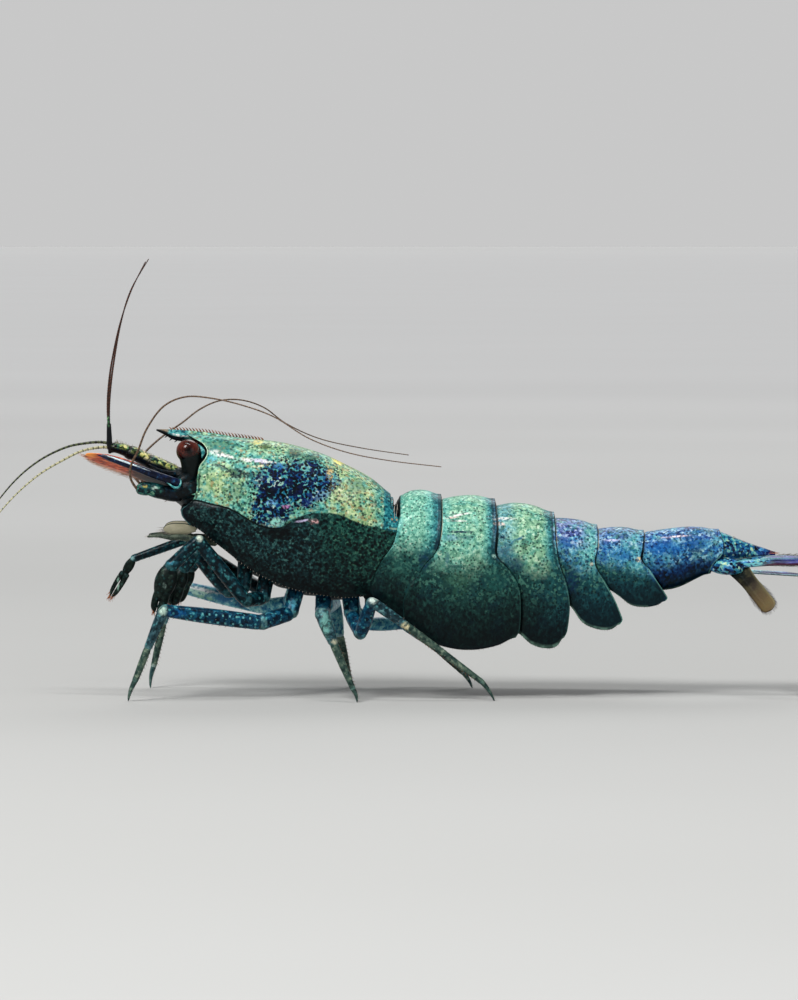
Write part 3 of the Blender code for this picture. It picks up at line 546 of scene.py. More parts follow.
    def dabs(self, body, places, grains, wobble=0.45, contrast=0.75):
        """Ragged patches among the grains, painted highlights among them: (x, z, half-width, half-height,
        colour, strength, slope).
        """
        bend = self.drift(7.0, wobble)
        loose = 0.25 + self.step(grains, 0.34, 0.52) * 0.75
        shade = self.stops(grains, 0.2, 0.8, [(0.2, 1 - contrast), (0.5, 0.85), (0.8, 1.0)])
        for place in places:
            x, z, wide, high, colour, strength = place[:6]
            slope = place[6] if len(place) > 6 else 0.0
            share = self.spot(x, z, wide, high, 0.5, bend, slope) * strength
            body = self.mix(share * loose, body, self.mix(1.0, colour, shade, "MULTIPLY"))
        return body

    def paint(self, colour, rough=None, height=None, depth=0.012):
        """Links colour, roughness and relief (depth in millimetres) to the shader."""
        self.plug(self.shader.inputs["Base Color"], colour)
        if rough is not None:
            self.plug(self.shader.inputs["Roughness"], rough)
        if height is not None:
            relief = self.node("Bump", {"Strength": 1.0, "Distance": depth * MM, "Height": height})
            self.plug(self.shader.inputs["Normal"], relief)
        return self.material


# Colours
INK = (4, 9, 12)

MINTS = [(18, 60, 56), (56, 118, 102), (102, 168, 144), (154, 208, 182), (220, 240, 218)]
CREAMS = [(40, 72, 50), (94, 134, 94), (146, 180, 128), (192, 212, 160), (238, 238, 206)]
TURQUOISES = [(6, 52, 64), (18, 104, 116), (40, 150, 154), (92, 194, 190), (176, 230, 220)]
BLACKS = [(1, 3, 5), (4, 14, 18), (10, 32, 36), (22, 56, 58), (50, 88, 84)]
BLUES = [(4, 10, 34), (10, 42, 96), (24, 86, 156), (70, 146, 194), (170, 214, 226)]
VIOLETS = [(14, 14, 46), (40, 42, 104), (78, 86, 156), (136, 150, 198), (206, 210, 228)]
NAVIES = [(1, 4, 16), (4, 18, 54), (10, 46, 98), (20, 76, 134), (56, 118, 160)]
GOLDS = [(6, 10, 8), (44, 60, 30), (118, 138, 70), (200, 196, 112), (236, 220, 176)]
NEAR_LIMB = [(1, 5, 12), (4, 22, 38), (8, 48, 70), (18, 82, 108), (96, 178, 188)]
DARK_LIMB = [(1, 4, 7), (3, 15, 21), (7, 34, 42), (18, 66, 76), (84, 150, 150)]
BANDS = [(3, 30, 42), (10, 66, 80), (28, 108, 118), (66, 156, 158), (140, 208, 200)]
FAR_LIMB = [(12, 54, 92), (34, 98, 138), (80, 152, 170), (140, 198, 196), (208, 234, 228)]
OLIVE_LIMB = [(14, 28, 28), (32, 52, 48), (56, 78, 70), (94, 112, 96), (150, 164, 142)]
PALM = [(1, 4, 4), (4, 12, 11), (11, 24, 21), (27, 42, 36), (72, 92, 78)]
SLATES = [(1, 7, 10), (4, 19, 23), (12, 36, 40), (30, 68, 69), (78, 122, 114)]
MOSSES = [(2, 12, 13), (7, 30, 29), (14, 52, 48), (34, 82, 70), (78, 126, 102)]
SPARKS = [
    (5, 12, 40), (10, 30, 88), (10, 58, 112), (22, 100, 128), (66, 146, 148), (120, 176, 156),
    (178, 190, 190),
]
# White of the painted highlights: light streaks painted on the upper flanks, the rostrum and a thread.
PAINTED_HIGHLIGHT = (240, 240, 234)
# Patches of the shield's own colour, and the white, pinkish and cream streaks high on the flank, which are
# painted highlights.
CARAPACE_MARKS_AND_HIGHLIGHTS = [
    (-1.98, 9.25, 0.62, 0.46, (226, 226, 184), 0.3), (-6.85, 10.08, 0.36, 0.2, (8, 26, 34), 1.0),
    (-6.3, 10.0, 0.3, 0.14, (24, 50, 50), 0.7), (-7.6, 10.32, 0.36, 0.05, (16, 50, 50), 0.9, -0.35),
    (-5.0, 10.4, 0.2, 0.14, (40, 120, 190), 0.8), (-5.32, 8.77, 0.2, 0.14, (120, 184, 236), 1.0),
    (-4.66, 8.6, 0.18, 0.08, (206, 140, 196), 0.8), (-5.13, 7.93, 0.28, 0.17, (170, 226, 206), 1.0),
    (-3.8, 8.75, 0.22, 0.16, (16, 34, 110), 0.8), (-8.05, 10.68, 0.24, 0.18, (40, 168, 184), 0.8),
    (-2.36, 10.54, 0.26, 0.14, (252, 236, 120), 1.0, -0.4),
    (-2.72, 10.1, 0.14, 0.26, (226, 196, 130), 0.8), (-5.95, 11.42, 0.22, 0.1, (226, 212, 120), 0.8),
    (-5.6, 11.22, 0.2, 0.14, (52, 78, 36), 0.9), (-4.3, 10.95, 0.34, 0.22, (70, 96, 90), 0.8),
    (-3.6, 10.72, 0.4, 0.16, (40, 60, 40), 0.7), (-7.8, 10.97, 0.34, 0.13, PAINTED_HIGHLIGHT, 1.0, -0.28),
    (-7.3, 10.82, 0.3, 0.08, PAINTED_HIGHLIGHT, 0.9, -0.28), (-6.42, 10.66, 0.32, 0.09, PAINTED_HIGHLIGHT, 1.0, -0.1),
    (-5.85, 10.62, 0.38, 0.09, (230, 222, 244), 0.95, -0.14), (-5.4, 10.56, 0.3, 0.04, PAINTED_HIGHLIGHT, 0.9, -0.1),
    (-5.95, 10.38, 0.34, 0.045, (240, 232, 190), 0.9, 0.1), (-7.7, 11.3, 0.7, 0.26, (48, 116, 96), 0.75),
    (-1.5, 9.5, 0.4, 0.3, (96, 150, 130), 0.6), (-6.9, 9.3, 0.4, 0.3, (60, 116, 96), 0.5),
]
# Patches of the rings' own colour, and painted highlights: white and pinkish streaks high on the flanks of
# rings 2, 3, 5 and 6, and small pale glints at the hinges and on a thread on ring 1.
PLEON_MARKS_AND_HIGHLIGHTS = [
    (3.1, 7.46, 0.52, 0.05, (8, 34, 66), 1.0), (2.7, 7.2, 0.36, 0.14, (90, 150, 180), 0.6),
    (3.3, 7.22, 0.34, 0.12, (24, 66, 84), 0.6), (2.06, 6.9, 0.14, 0.3, (8, 26, 44), 0.9),
    (1.5, 6.2, 0.26, 0.42, (10, 44, 70), 0.8), (2.5, 6.3, 0.12, 0.3, (20, 90, 110), 0.7),
    (2.9, 5.95, 0.34, 0.05, (14, 50, 60), 0.7), (4.97, 7.24, 0.15, 0.1, (10, 44, 64), 1.0),
    (5.6, 7.08, 0.34, 0.07, (24, 100, 140), 0.9, 0.5), (5.95, 6.9, 0.14, 0.26, (10, 36, 44), 0.9),
    (5.1, 6.6, 0.4, 0.34, (24, 66, 92), 0.7), (5.6, 6.1, 0.36, 0.4, (16, 56, 76), 0.7),
    (3.05, 8.2, 0.46, 0.045, PAINTED_HIGHLIGHT, 1.0, 0.18), (2.75, 8.08, 0.3, 0.035, (236, 206, 196), 0.8, 0.1),
    (2.95, 7.94, 0.42, 0.035, PAINTED_HIGHLIGHT, 0.9, 0.0), (5.05, 8.02, 0.44, 0.055, PAINTED_HIGHLIGHT, 1.0, 0.0),
    (4.85, 7.8, 0.22, 0.07, (240, 214, 200), 0.9, -0.1), (9.9, 7.04, 0.32, 0.045, (206, 206, 244), 0.9),
    (12.75, 7.18, 0.6, 0.04, (248, 230, 238), 1.0, 0.08), (13.65, 6.9, 0.5, 0.4, (20, 84, 156), 0.8),
    (7.8, 6.9, 0.34, 0.3, (24, 86, 164), 0.7), (9.5, 6.5, 0.26, 0.5, (24, 84, 160), 0.6),
    (10.3, 6.4, 0.5, 0.3, (30, 110, 180), 0.6), (12.2, 6.7, 0.9, 0.36, (22, 98, 174), 0.65),
    (13.6, 6.5, 0.34, 0.2, (12, 36, 60), 0.6), (8.1, 5.3, 0.3, 0.5, (10, 40, 74), 0.7),
    (0.06, 7.06, 0.1, 0.08, (214, 190, 206), 0.9), (2.16, 6.52, 0.1, 0.1, (190, 216, 190), 0.9),
    (4.6, 6.4, 0.09, 0.09, (160, 200, 190), 0.8), (8.97, 6.0, 0.08, 0.08, (190, 190, 170), 0.9),
    (11.1, 6.2, 0.1, 0.1, (240, 220, 170), 1.0), (3.0, 5.2, 0.7, 0.5, (44, 84, 66), 0.6),
    (4.7, 5.4, 0.5, 0.6, (30, 88, 82), 0.5), (0.4, 5.9, 0.5, 0.4, (44, 96, 86), 0.5),
    (0.19, 8.3, 0.05, 0.05, PAINTED_HIGHLIGHT, 1.0),
]


def shell_relief(look):
    """Fine pits, soft undulation and faint scratches of a wet shell."""
    pits = look.cells(9.0)
    swell = look.noise(2.2, 2.0)
    grain = look.noise(16.0, 2.0)
    return pits * 0.5 + (swell * 0.9 + grain * 0.35)


def carapace_look():
    look = Look("carapace_shell", roughness=0.34, metallic=0.03, coat=0.07, specular=0.09)
    field = look.grain(9.5, 0.45)
    fine = look.drift(4.0, 0.12)
    ragged = look.drift(2.2, 0.22, 4.0)
    body = look.palette(field, MINTS, 0.04, 1.0)
    creams = look.palette(field, CREAMS, -0.03, 0.94)
    turquoises = look.palette(field, TURQUOISES, 0.06, 0.94)
    cream = look.most(look.spot(-7.6, 9.6, 0.95, 0.8, 0.5, ragged),
        look.step(look.x + ragged, -3.0, -2.4) * look.step(look.x, -0.45, -1.0))
    crown = look.band(look.x + ragged, -6.2, -3.0, 0.7) * look.step(look.z, 10.7, 11.2)
    cream = look.most(cream, crown * 0.75)
    body.lay(cream * look.clouds(1.9, 2.0, 0.3, 0.52), creams)
    single = look.tones(7.0)
    body.lay(look.step(single, 0.76, 0.8) * 0.4, turquoises)
    body.lay(look.step(single, 0.12, 0.09) * 0.55, (150, 112, 66))
    body.lay(look.band(single, 0.3, 0.42, 0.02) * 0.5, creams)
    cool = look.clouds(1.5, 3.0, 0.52, 0.64) * (1.0 - cream)
    body.lay(cool * 0.5, turquoises)
    bands = look.palette(field, BANDS, 0.06, 0.98)
    body.lay(look.step(look.mark("hinge") + fine, 0.3, 0.6), bands)
    gold = look.speckle(4.5, 0.2) * look.clouds(1.2, 2.0, 0.5, 0.6)
    body.lay(gold * 0.7, (190, 146, 86))
    shy = look.spot(-8.0, 9.2, 0.5, 1.2, 0.6)
    cover = 0.28 + look.clouds(0.8, 2.0, 0.4, 0.62) * 0.1
    dots = look.speckle(6.0, cover - shy * 0.08)
    body.lay(dots * 0.86, (18, 48, 44))
    bend = look.drift(1.6, 0.28, 4.0)
    bend = bend + look.drift(5.0, 0.1, 2.0)
    near = look.math("MINIMUM", look.oval(-4.25, 9.66, 1.8, 0.98, bend),
        look.oval(-5.35, 8.6, 0.95, 1.0, bend))
    inside = look.step(near, 1.12, 0.86)
    sparks = look.palette(look.tones(8.5) + (look.noise(2.0, 2.0) - 0.5), SPARKS, 0.0, 1.12)
    royal = look.step(look.x, -4.2, -3.0) * look.step(look.z, 9.2, 9.7)
    sparks.lay(royal * 0.6, look.palette(look.tones(8.5),
        [(6, 14, 50), (14, 48, 104), (22, 90, 132), (90, 170, 172)], 0.0, 1.0))
    body.lay(inside, sparks)
    spread = look.stops(near, 0.0, 1.5, [(0.0, 0.58), (0.5, 0.58), (0.85, 0.56), (1.1, 0.42), (1.5, 0.0)],
        mode="LINEAR")
    core = look.most(look.spot(-4.3, 9.4, 0.42, 0.28, 0.5, bend),
        look.spot(-5.5, 9.3, 0.34, 0.34, 0.5, bend))
    spread = spread + core * 0.2
    pale = look.spot(-3.1, 8.95, 0.5, 0.36, 0.6, bend)
    spread = spread - pale * 0.1
    lace = look.speckle(7.3, spread - 0.04, 0.05, 0.7) * look.step(near, 1.6, 1.3)
    body.lay(pale * inside * 0.45, look.palette(look.tones(8.5),
        [(50, 80, 130), (110, 140, 170), (190, 206, 214)], 0.1, 0.9))
    night = look.palette(look.tones(5.0), [(2, 6, 10), (3, 11, 20), (6, 22, 56)], 0.1, 0.95)
    body.lay(lace, night)
    body = look.dabs(body, CARAPACE_MARKS_AND_HIGHLIGHTS, field)
    # Below the groove the shield is darker: partly its own colour, partly painted shade of the lower flank
    # turned from the light.
    drop = look.height_line(GROOVE) - look.z
    below = look.step(drop, -0.02, 0.06)
    moss = look.step(look.x + ragged * 1.5, -4.0, -2.2)
    crisp = look.grain(10.5, 0.52)
    dark = look.mix(moss, look.palette(crisp, SLATES, 0.06, 0.9), look.palette(crisp, MOSSES, 0.06, 0.92))
    # Painted shade: darker towards the lower edge.
    lower_shade = look.step(drop + ragged, 0.8, 3.2)
    dark.lay(lower_shade * 0.75, look.palette(crisp, BLACKS, 0.14, 1.1))
    # Painted shade: darker towards the front.
    dusk = look.step(look.x + drop * 0.5, -7.0, -8.9)
    dark.lay(dusk * 0.5, (3, 11, 14))
    pits = look.speckle(5.2, 0.37 + look.spot(-4.9, 7.2, 1.2, 0.6, 0.6) * 0.1, 0.03)
    dark.lay(pits * 0.9, (1, 6, 9))
    glow = look.speckle(4.6, 0.2) * look.clouds(1.6, 2.0, 0.46, 0.6)
    dark.lay(glow * 0.4, look.mix(moss, (70, 116, 112), (66, 114, 90)))
    # Painted shade: near-black along the lower edge.
    edge = look.step(look.mark("height"), 0.2, 0.02) * 0.8
    dark.lay(edge, (1, 5, 7))
    # A near-black patch just under the low point of the groove.
    groove_dark_patch = look.spot(-5.0, 7.45, 0.7, 0.3, 0.5, look.drift(4.0, 0.3))
    dark.lay(groove_dark_patch * 0.85, (1, 4, 6))
    body.lay(below, dark)
    # The pink lens spot and a mint patch, with a painted violet-white highlight and a white painted
    # highlight beside the lens.
    body = look.dabs(body, [(-3.45, 7.95, 0.22, 0.1, (206, 160, 160), 1.0),
        (-3.95, 7.98, 0.26, 0.05, (206, 196, 230), 0.9, 0.2),
        (-5.13, 7.9, 0.27, 0.15, (150, 220, 204), 0.9), (-3.5, 8.03, 0.16, 0.04, PAINTED_HIGHLIGHT, 0.9)], field)
    pale = look.step(abs(drop + 0.09), 0.06, 0.02)
    pale = pale * look.clouds(1.3, 1.0, 0.5, 0.64)
    body.lay(pale * 0.4, (180, 210, 176))
    crease = look.step(abs(drop), 0.06, 0.03)
    body.lay(crease * look.step(look.x, -3.9, -5.0), (2, 12, 14))
    fall = abs(look.height_line(CHEEK_GROOVE) - look.z)
    cheek = look.step(fall, 0.05, 0.02) * look.band(look.x, -7.85, -7.0, 0.05)
    body.lay(cheek * 0.8, (10, 40, 42))
    tip = look.step(look.x, -8.9, -9.3)
    level = look.z - look.height_line([(-10.6, 11.93), (-10.1, 11.8), (-9.8, 11.69), (-9.45, 11.62),
        (-8.9, 11.5)])
    blade = look.palette(look.grain(9.0, 0.3), [(4, 24, 34), (18, 84, 96), (70, 156, 156),
        (170, 216, 200)], 0.15, 0.85)
    blade.lay(look.step(level, 0.03, -0.03), (3, 10, 18))
    blade.lay(look.step(look.x, -9.9, -10.1), look.mix(look.step(level, 0.05, 0.09), (8, 12, 15),
        (126, 112, 92)))
    body.lay(tip, blade)
    # Painted highlights: white streaks along the rostrum.
    body = look.dabs(body, [(-9.62, 11.71, 0.24, 0.05, PAINTED_HIGHLIGHT, 1.0, -0.15),
        (-9.2, 11.66, 0.2, 0.03, PAINTED_HIGHLIGHT, 0.6)], field)
    body.lay(look.mark("rim"), look.mix(look.step(look.z, 9.2, 8.8), (190, 214, 180), (96, 156, 158)))
    # Painted shade: the tucked-under faces are near-black.
    body.lay(look.mark("fold"), (3, 10, 14))
    # Painted shade: the inner lining under the shell is dark.
    body.lay(look.mark("inner"), (3, 12, 15))
    rough = 0.26 + look.noise(5.0, 2.0) * 0.2
    return look.paint(body, rough, shell_relief(look), 0.014)


def pleon_look():
    """Rings 1 to 6: colours by the place mark, which is the ring's number plus the share along it."""
    look = Look("pleon_shell", roughness=0.34, metallic=0.03, coat=0.07, specular=0.09)
    height = look.mark("height")
    ragged = look.drift(2.4, 0.18, 4.0)
    place = look.mark("place") + ragged * 0.25
    field = look.grain(10.0, 0.42)
    body = look.palette(field, MINTS, -0.06, 0.94)

    def along(pairs):
        return look.stops(place, 1, 7, pairs, mode="LINEAR")

    cream = along([(1.0, 0.1), (1.6, 0.2), (2.0, 0.0), (2.25, 0.4), (2.85, 0.5), (2.96, 0.1), (3.1, 0.2),
        (3.4, 0.6), (3.9, 0.5), (4.0, 0.0), (6.9, 0.0)])
    body.lay(cream * look.clouds(2.3, 3.0, 0.34, 0.56), look.palette(field, CREAMS, -0.04, 0.96))
    cool = along([(1.0, 0.7), (1.15, 0.2), (1.6, 0.2), (1.8, 0.6), (2.0, 0.6), (2.2, 0.2), (2.75, 0.2),
        (2.9, 0.7), (3.02, 0.2), (3.8, 0.1), (3.93, 0.7), (4.02, 0.1), (4.9, 0.5), (5.1, 0.4), (5.9, 0.6),
        (6.9, 0.3)])
    body.lay(cool, look.palette(field, TURQUOISES, 0.0, 0.92))
    rear = along([(1.0, 0.0), (1.78, 0.0), (1.88, 0.85), (1.97, 0.85), (2.02, 0.0), (2.84, 0.0),
        (2.92, 0.85), (2.975, 0.85), (3.02, 0.0), (3.82, 0.0), (3.9, 0.8), (3.96, 0.8), (4.02, 0.0),
        (6.9, 0.0)])
    body.lay(rear, look.palette(field, BANDS, 0.1, 1.1))
    exact = look.math("FRACT", look.mark("place"))
    front_half = look.step(look.mark("place"), 4.0, 3.98)
    body.lay(look.step(exact, 0.925, 0.965) * front_half * 0.8, (5, 34, 52))
    blues = along([(1.0, 0.0), (2.97, 0.0), (3.03, 0.6), (3.25, 0.4), (3.4, 0.0), (3.98, 0.0),
        (4.03, 0.95), (4.5, 0.9), (4.75, 0.45), (4.96, 0.2), (5.03, 0.95), (5.5, 0.8), (5.9, 0.5),
        (6.02, 0.95), (6.9, 0.95)])
    patchy = 0.6 + look.clouds(2.0, 3.0, 0.4, 0.6) * 0.4
    mosaic = (look.tones(7.5) - 0.5) * 0.55 + look.noise(5.5, 3.0, 0.65)
    body.lay(blues * patchy, look.palette(mosaic, BLUES, 0.1, 0.84))
    violet = along([(1.0, 0.0), (3.98, 0.0), (4.05, 0.85), (4.6, 0.75), (4.9, 0.1), (5.05, 0.5),
        (5.6, 0.4), (6.0, 0.3), (6.9, 0.35)]) * look.step(height, 0.7, 0.86)
    body.lay(violet * look.clouds(2.6, 2.0, 0.38, 0.56), look.palette(mosaic, VIOLETS, 0.1, 0.84))
    cover = 0.22 + look.clouds(1.0, 2.0, 0.4, 0.6) * 0.1
    cover = cover + look.step(place, 3.9, 4.1) * 0.06
    dots = look.speckle(6.5, cover)
    body.lay(dots * 0.8, look.mix(look.step(place, 3.9, 4.1), (18, 54, 50), (6, 16, 56)))
    # The rings are light above and dark below: partly their own two colours, partly painted shade of the
    # lower flanks turned from the light; lit is the light part, and dusk gives where it ends along the
    # rings.
    wave = height + ragged * 0.28
    dusk = along([(1.0, 0.54), (1.9, 0.58), (2.0, 0.58), (2.4, 0.54), (3.0, 0.62), (3.5, 0.56),
        (4.0, 0.64), (4.5, 0.56), (5.0, 0.56), (5.4, 0.52), (6.0, 0.42), (6.9, 0.36)])
    lit = look.step(wave - dusk, -0.12, 0.12)
    streaks = look.grain(9.0, 0.35, vector=look.stretched(1.1, 1.0, 0.75))
    low = look.palette(streaks, [(2, 11, 14), (6, 27, 28), (16, 48, 46), (36, 80, 73), (84, 128, 112)],
        0.04, 1.0)
    low.lay(look.step(place, 2.9, 4.3), look.palette(streaks,
        [(2, 13, 18), (6, 34, 42), (14, 58, 66), (34, 92, 98), (84, 142, 140)], 0.04, 1.0))
    low.lay(look.step(place, 5.9, 6.0), look.palette(mosaic, NAVIES, 0.16, 0.9))
    upper_low = look.step(wave, 0.24, 0.46) * look.step(place, 5.95, 5.85)
    low.lay(upper_low * 0.2, (30, 92, 88))
    light = look.step(look.tones(9.0), 0.74, 0.8) * upper_low
    low.lay(light * 0.45, (92, 150, 128))
    low.lay(look.clouds(1.4, 3.0, 0.5, 0.66) * 0.35, (6, 42, 58))
    pits = look.speckle(6.5, 0.28, 0.04) * look.step(place, 5.95, 5.85)
    low.lay(pits * 0.75, (2, 11, 15))
    # Painted shade: near-black towards the lower edge.
    foot = look.step(wave, 0.44, 0.04)
    low.lay(foot * 0.88, look.mix(look.step(place, 3.9, 4.5), (1, 7, 10), (3, 22, 28)))
    body = look.mix(lit, low, body)
    body = look.dabs(body, PLEON_MARKS_AND_HIGHLIGHTS, field)
    body.lay(look.mark("collar"), (226, 214, 176))
    lower_rim = look.mix(look.step(place, 2.95, 3.05), (30, 72, 72), (96, 150, 136))
    # Painted light and shade on the rear rims: pale in the lit part, darker below.
    body.lay(look.mark("rim"), look.mix(lit, lower_rim, (110, 176, 160)))
    # A thin line along the lower edge: dark on rings 1 and 2; on rings 3 to 6 broken and pale, partly the
    # translucent edge and partly a painted highlight.
    broken = 0.35 + look.clouds(2.4, 2.0, 0.45, 0.6) * 0.65
    hem = look.mark("hem") * look.mix(look.step(place, 2.9, 3.1), (255, 255, 255), broken)
    body.lay(hem, look.mix(look.step(place, 2.9, 3.1), (10, 20, 26), (130, 172, 152)))
    # Painted shade: the tucked-under faces are near-black.
    body.lay(look.mark("fold"), (2, 9, 13))
    # Painted shade: the inner lining under the rings is dark.
    body.lay(look.mark("inner"), look.mix(look.step(place, 5.95, 6.0), (3, 12, 15), (10, 24, 56)))
    rough = 0.26 + look.noise(5.0, 2.0) * 0.2
    return look.paint(body, rough, shell_relief(look), 0.014)


def limb_look(name, colours, joint, gloss=0.28, dots=0.3, tip=None, scale=6.5, highlights_and_patches=(), rows=(),
        coat=0.06):
    """Blue-green limbs, mottled in small grains; rows are (one end, other end, pitch) of lines of dots."""
    look = Look(name, roughness=gloss, metallic=0.05, coat=coat, specular=0.11)
    field = look.grain(scale, 0.35)
    body = look.palette(field, colours)
    if tip is not None:
        body.lay(look.mark("tip"), look.palette(field, tip))
    fleck = look.speckle(4.4, 0.24) * (1.0 - look.mark("tip"))
    body.lay(fleck * dots, (104, 206, 206))
    for (x0, z0), (x1, z1), pitch in rows:
        run = look.x - x0
        away = abs(look.z - (run * ((z1 - z0) / (x1 - x0)) + z0))
        beat = abs(look.math("FRACT", run * (1 / pitch)) - 0.5)
        dot = look.step(away, 0.06, 0.03) * look.step(beat, 0.17, 0.09)
        body.lay(dot * look.band(look.x, x0, x1, 0.02) * 0.6, (120, 196, 196))
    patchy = 0.3 + look.clouds(5.0, 2.0, 0.42, 0.6) * 0.7
    body.lay(look.mark("joint") * patchy, joint)
    # Painted highlights on knees, joints and upper edges, with patches of the limbs' own colour.
    body = look.dabs(body, highlights_and_patches, field, 0.3, 0.35)
    rough = gloss - 0.06 + look.noise(7.0, 2.0) * 0.16
    return look.paint(body, rough, look.noise(11.0, 2.0) + look.cells(8.0) * 0.4, 0.012)


def plain_look(name, colour, other, roughness=0.35, scale=5.0, coat=0.0, metallic=0.0, depth=0.01):
    """Two mottled tones with a light relief."""
    look = Look(name, roughness=roughness, metallic=metallic, coat=coat)
    tones = look.noise(scale, 3.0, 0.6)
    body = look.mix(look.step(tones, 0.38, 0.64), colour, other)
    rough = roughness - 0.06 + look.noise(scale * 2, 2.0) * 0.16
    return look.paint(body, rough, look.noise(scale * 2.5, 2.0), depth)


def eye_look():
    look = Look("eye_cornea", roughness=0.16, coat=0.2, specular=0.2)
    out = abs(look.y) - EYE_CENTRE[1]
    along = look.x - EYE_CENTRE[0]
    rise = look.z - EYE_CENTRE[2]
    red = look.palette(look.grain(12.0, 0.2), [(26, 9, 7), (58, 20, 14), (90, 36, 25)], 0.3, 0.7)
    # Painted light: the upper part of the eye is lighter reddish.
    glow = look.step(abs(along), 0.08, 0.4) * look.step(rise, -0.1, 0.3)
    red.lay(glow * 0.45, (120, 52, 38))
    dx, dz = along - 0.085, rise - 0.04
    reach = look.math("SQRT", dx * dx + dz * dz)
    pupil = look.step(reach, 0.3, 0.05) * look.step(out, 0.02, 0.2)
    red.lay(pupil, (7, 2, 2))
    red.lay(look.step(rise, -0.02, -0.34), (2, 3, 4))
    return look.paint(red, None, look.cells(16.0), 0.002)


def whip_look(name, base, band, pitch, share=0.35, root=None):
    """Feelers in bands along their length; pitch is a share of the length."""
    look = Look(name, roughness=0.4, coat=0.1)
    along = look.mark("along")
    turn = look.math("FRACT", along * (1 / pitch))
    body = look.mix(look.step(turn, share + 0.12, share), base, band)
    body.lay(look.clouds(6.0, 2.0, 0.5, 0.7) * 0.35, (40, 30, 24))
    if root is not None:
        body.lay(look.step(along, root[1] + 0.012, root[1]),
            look.palette(look.grain(9.0), [INK, (20, 48, 36), (60, 110, 72), (130, 176, 110)]))
        body.lay(look.step(along, root[0] + 0.012, root[0]), (4, 9, 14))
    return look.paint(body, None, look.noise(20.0, 1.0), 0.006)


def scale_look():
    """The feeler scale: a dark ridge with a painted highlight line, and an orange blade that is dark near
    its root.
    """
    look = Look("antennal_scale", roughness=0.32, coat=0.15)
    flank, along = look.mark("flank"), look.mark("along")
    veins = look.noise(5.0, 3.0, vector=look.stretched(0.4, 1.0, 2.2))
    blade = look.palette(veins, [(110, 34, 16), (196, 74, 34), (236, 130, 78)], 0.36, 0.66)
    blade.lay(look.step(along, 0.86, 0.95) * look.step(flank, -0.3, 0.3), (255, 158, 70))
    blade.lay(look.step(flank, -0.6, -0.98) * 0.6, (226, 170, 150))
    blade.lay(look.step(along + look.drift(2.0, 0.06), 0.56, 0.44), (60, 30, 18))
    blade.lay(look.step(along + look.drift(2.0, 0.06), 0.4, 0.25), (20, 13, 11))
    ridge = look.palette(look.grain(9.0, 0.3), [(2, 3, 10), (4, 9, 26), (12, 26, 60), (30, 90, 126)])
    ridge.lay(look.step(along, 0.72, 0.84), (26, 14, 66))
    near = look.band(flank, 0.3, 0.8, 0.12) * look.step(along, 0.84, 0.74)
    body = look.mix(look.most(look.mark("spine"), near), blade, ridge)
    # Painted highlight: a broken light line along the ridge.
    broken = look.clouds(1.7, 3.0, 0.4, 0.5)
    light = look.mix(look.step(look.x, -10.9, -10.5), (214, 232, 238), (176, 176, 214))
    body.lay(look.mark("streak") * (0.25 + broken * 0.75), light)
    return look.paint(body, None, veins, 0.012)


def tail_look():
    """The tail fan: a mosaic of blue, turquoise and cream near the root, dark blue-violet further back."""
    look = Look("tail_fan", roughness=0.32, metallic=0.06, coat=0.14)
    field = (look.tones(8.0) - 0.5) * 0.75 + look.noise(5.5, 3.0, 0.6)
    body = look.palette(field, [INK, (5, 22, 52), (14, 70, 120), (40, 126, 156), (96, 176, 176),
        (170, 198, 160)], 0.06, 0.94)
    body.lay(look.clouds(1.8, 2.0, 0.5, 0.6), look.palette(field, BLUES, 0.08, 0.92))
    band = look.band(look.x + look.drift(2.0, 0.06), 14.4, 14.88, 0.1) * look.step(look.z, 6.4, 6.7)
    body.lay(band * 0.75, look.palette(field, TURQUOISES, 0.06, 0.9))
    fins = look.palette(look.grain(5.0, 0.25, vector=look.stretched(0.3, 1, 1)),
        [(2, 4, 16), (6, 14, 48), (22, 34, 100), (60, 56, 134), (110, 150, 176)], 0.25, 0.8)
    body.lay(look.step(look.x + look.drift(1.5, 0.2), 16.5, 17.2), fins)
    flank = look.mark("flank")
    stripes = look.step(look.noise(1.0, 1.0, vector=look.stretched(0.25, 7.0, 7.0)), 0.5,
        0.58) * look.step(abs(flank), 0.0, 0.03)
    body.lay(stripes * look.step(look.x, 17.2, 16.2), (96, 168, 172))
    ragged = 0.3 + look.clouds(2.2, 2.0, 0.42, 0.56) * 0.7
    # Painted highlight: a broken pale cyan line along one long edge of the blades.
    body.lay(look.step(flank, -0.72, -0.9) * ragged, (136, 190, 190))
    body.lay(look.step(flank, 0.72, 0.92) * look.step(look.x, 16.3, 17.0), (66, 14, 26))
    body.lay(look.mark("rim") * 0.5, (10, 24, 50))
    body.lay(look.mark("vein") * 0.6, (140, 196, 190))
    return look.paint(body, 0.24 + field * 0.14, field, 0.012)


def hanging_fin_look():
    """The near outer blade: black-brown at its root, brown and translucent-looking towards its tip."""
    look = Look("hanging_fin", roughness=0.36, coat=0.1)
    along = look.mark("along") + look.drift(2.0, 0.05)
    body = look.stops(along, 0, 1, [(0.0, (6, 22, 26)), (0.2, (8, 14, 10)), (0.34, (18, 16, 10)),
        (0.46, (52, 44, 34)), (0.7, (82, 68, 46)), (0.9, (98, 82, 52)), (1.0, (92, 76, 50))])
    body.lay(look.clouds(3.0, 2.0, 0.46, 0.66) * 0.3, (84, 80, 52))
    rim = look.mix(look.step(look.mark("flank"), -0.1, 0.1), (30, 20, 10), (120, 116, 76))
    body.lay(look.mark("rim") * 0.7, rim)
    return look.paint(body, None, look.noise(9.0, 2.0), 0.01)


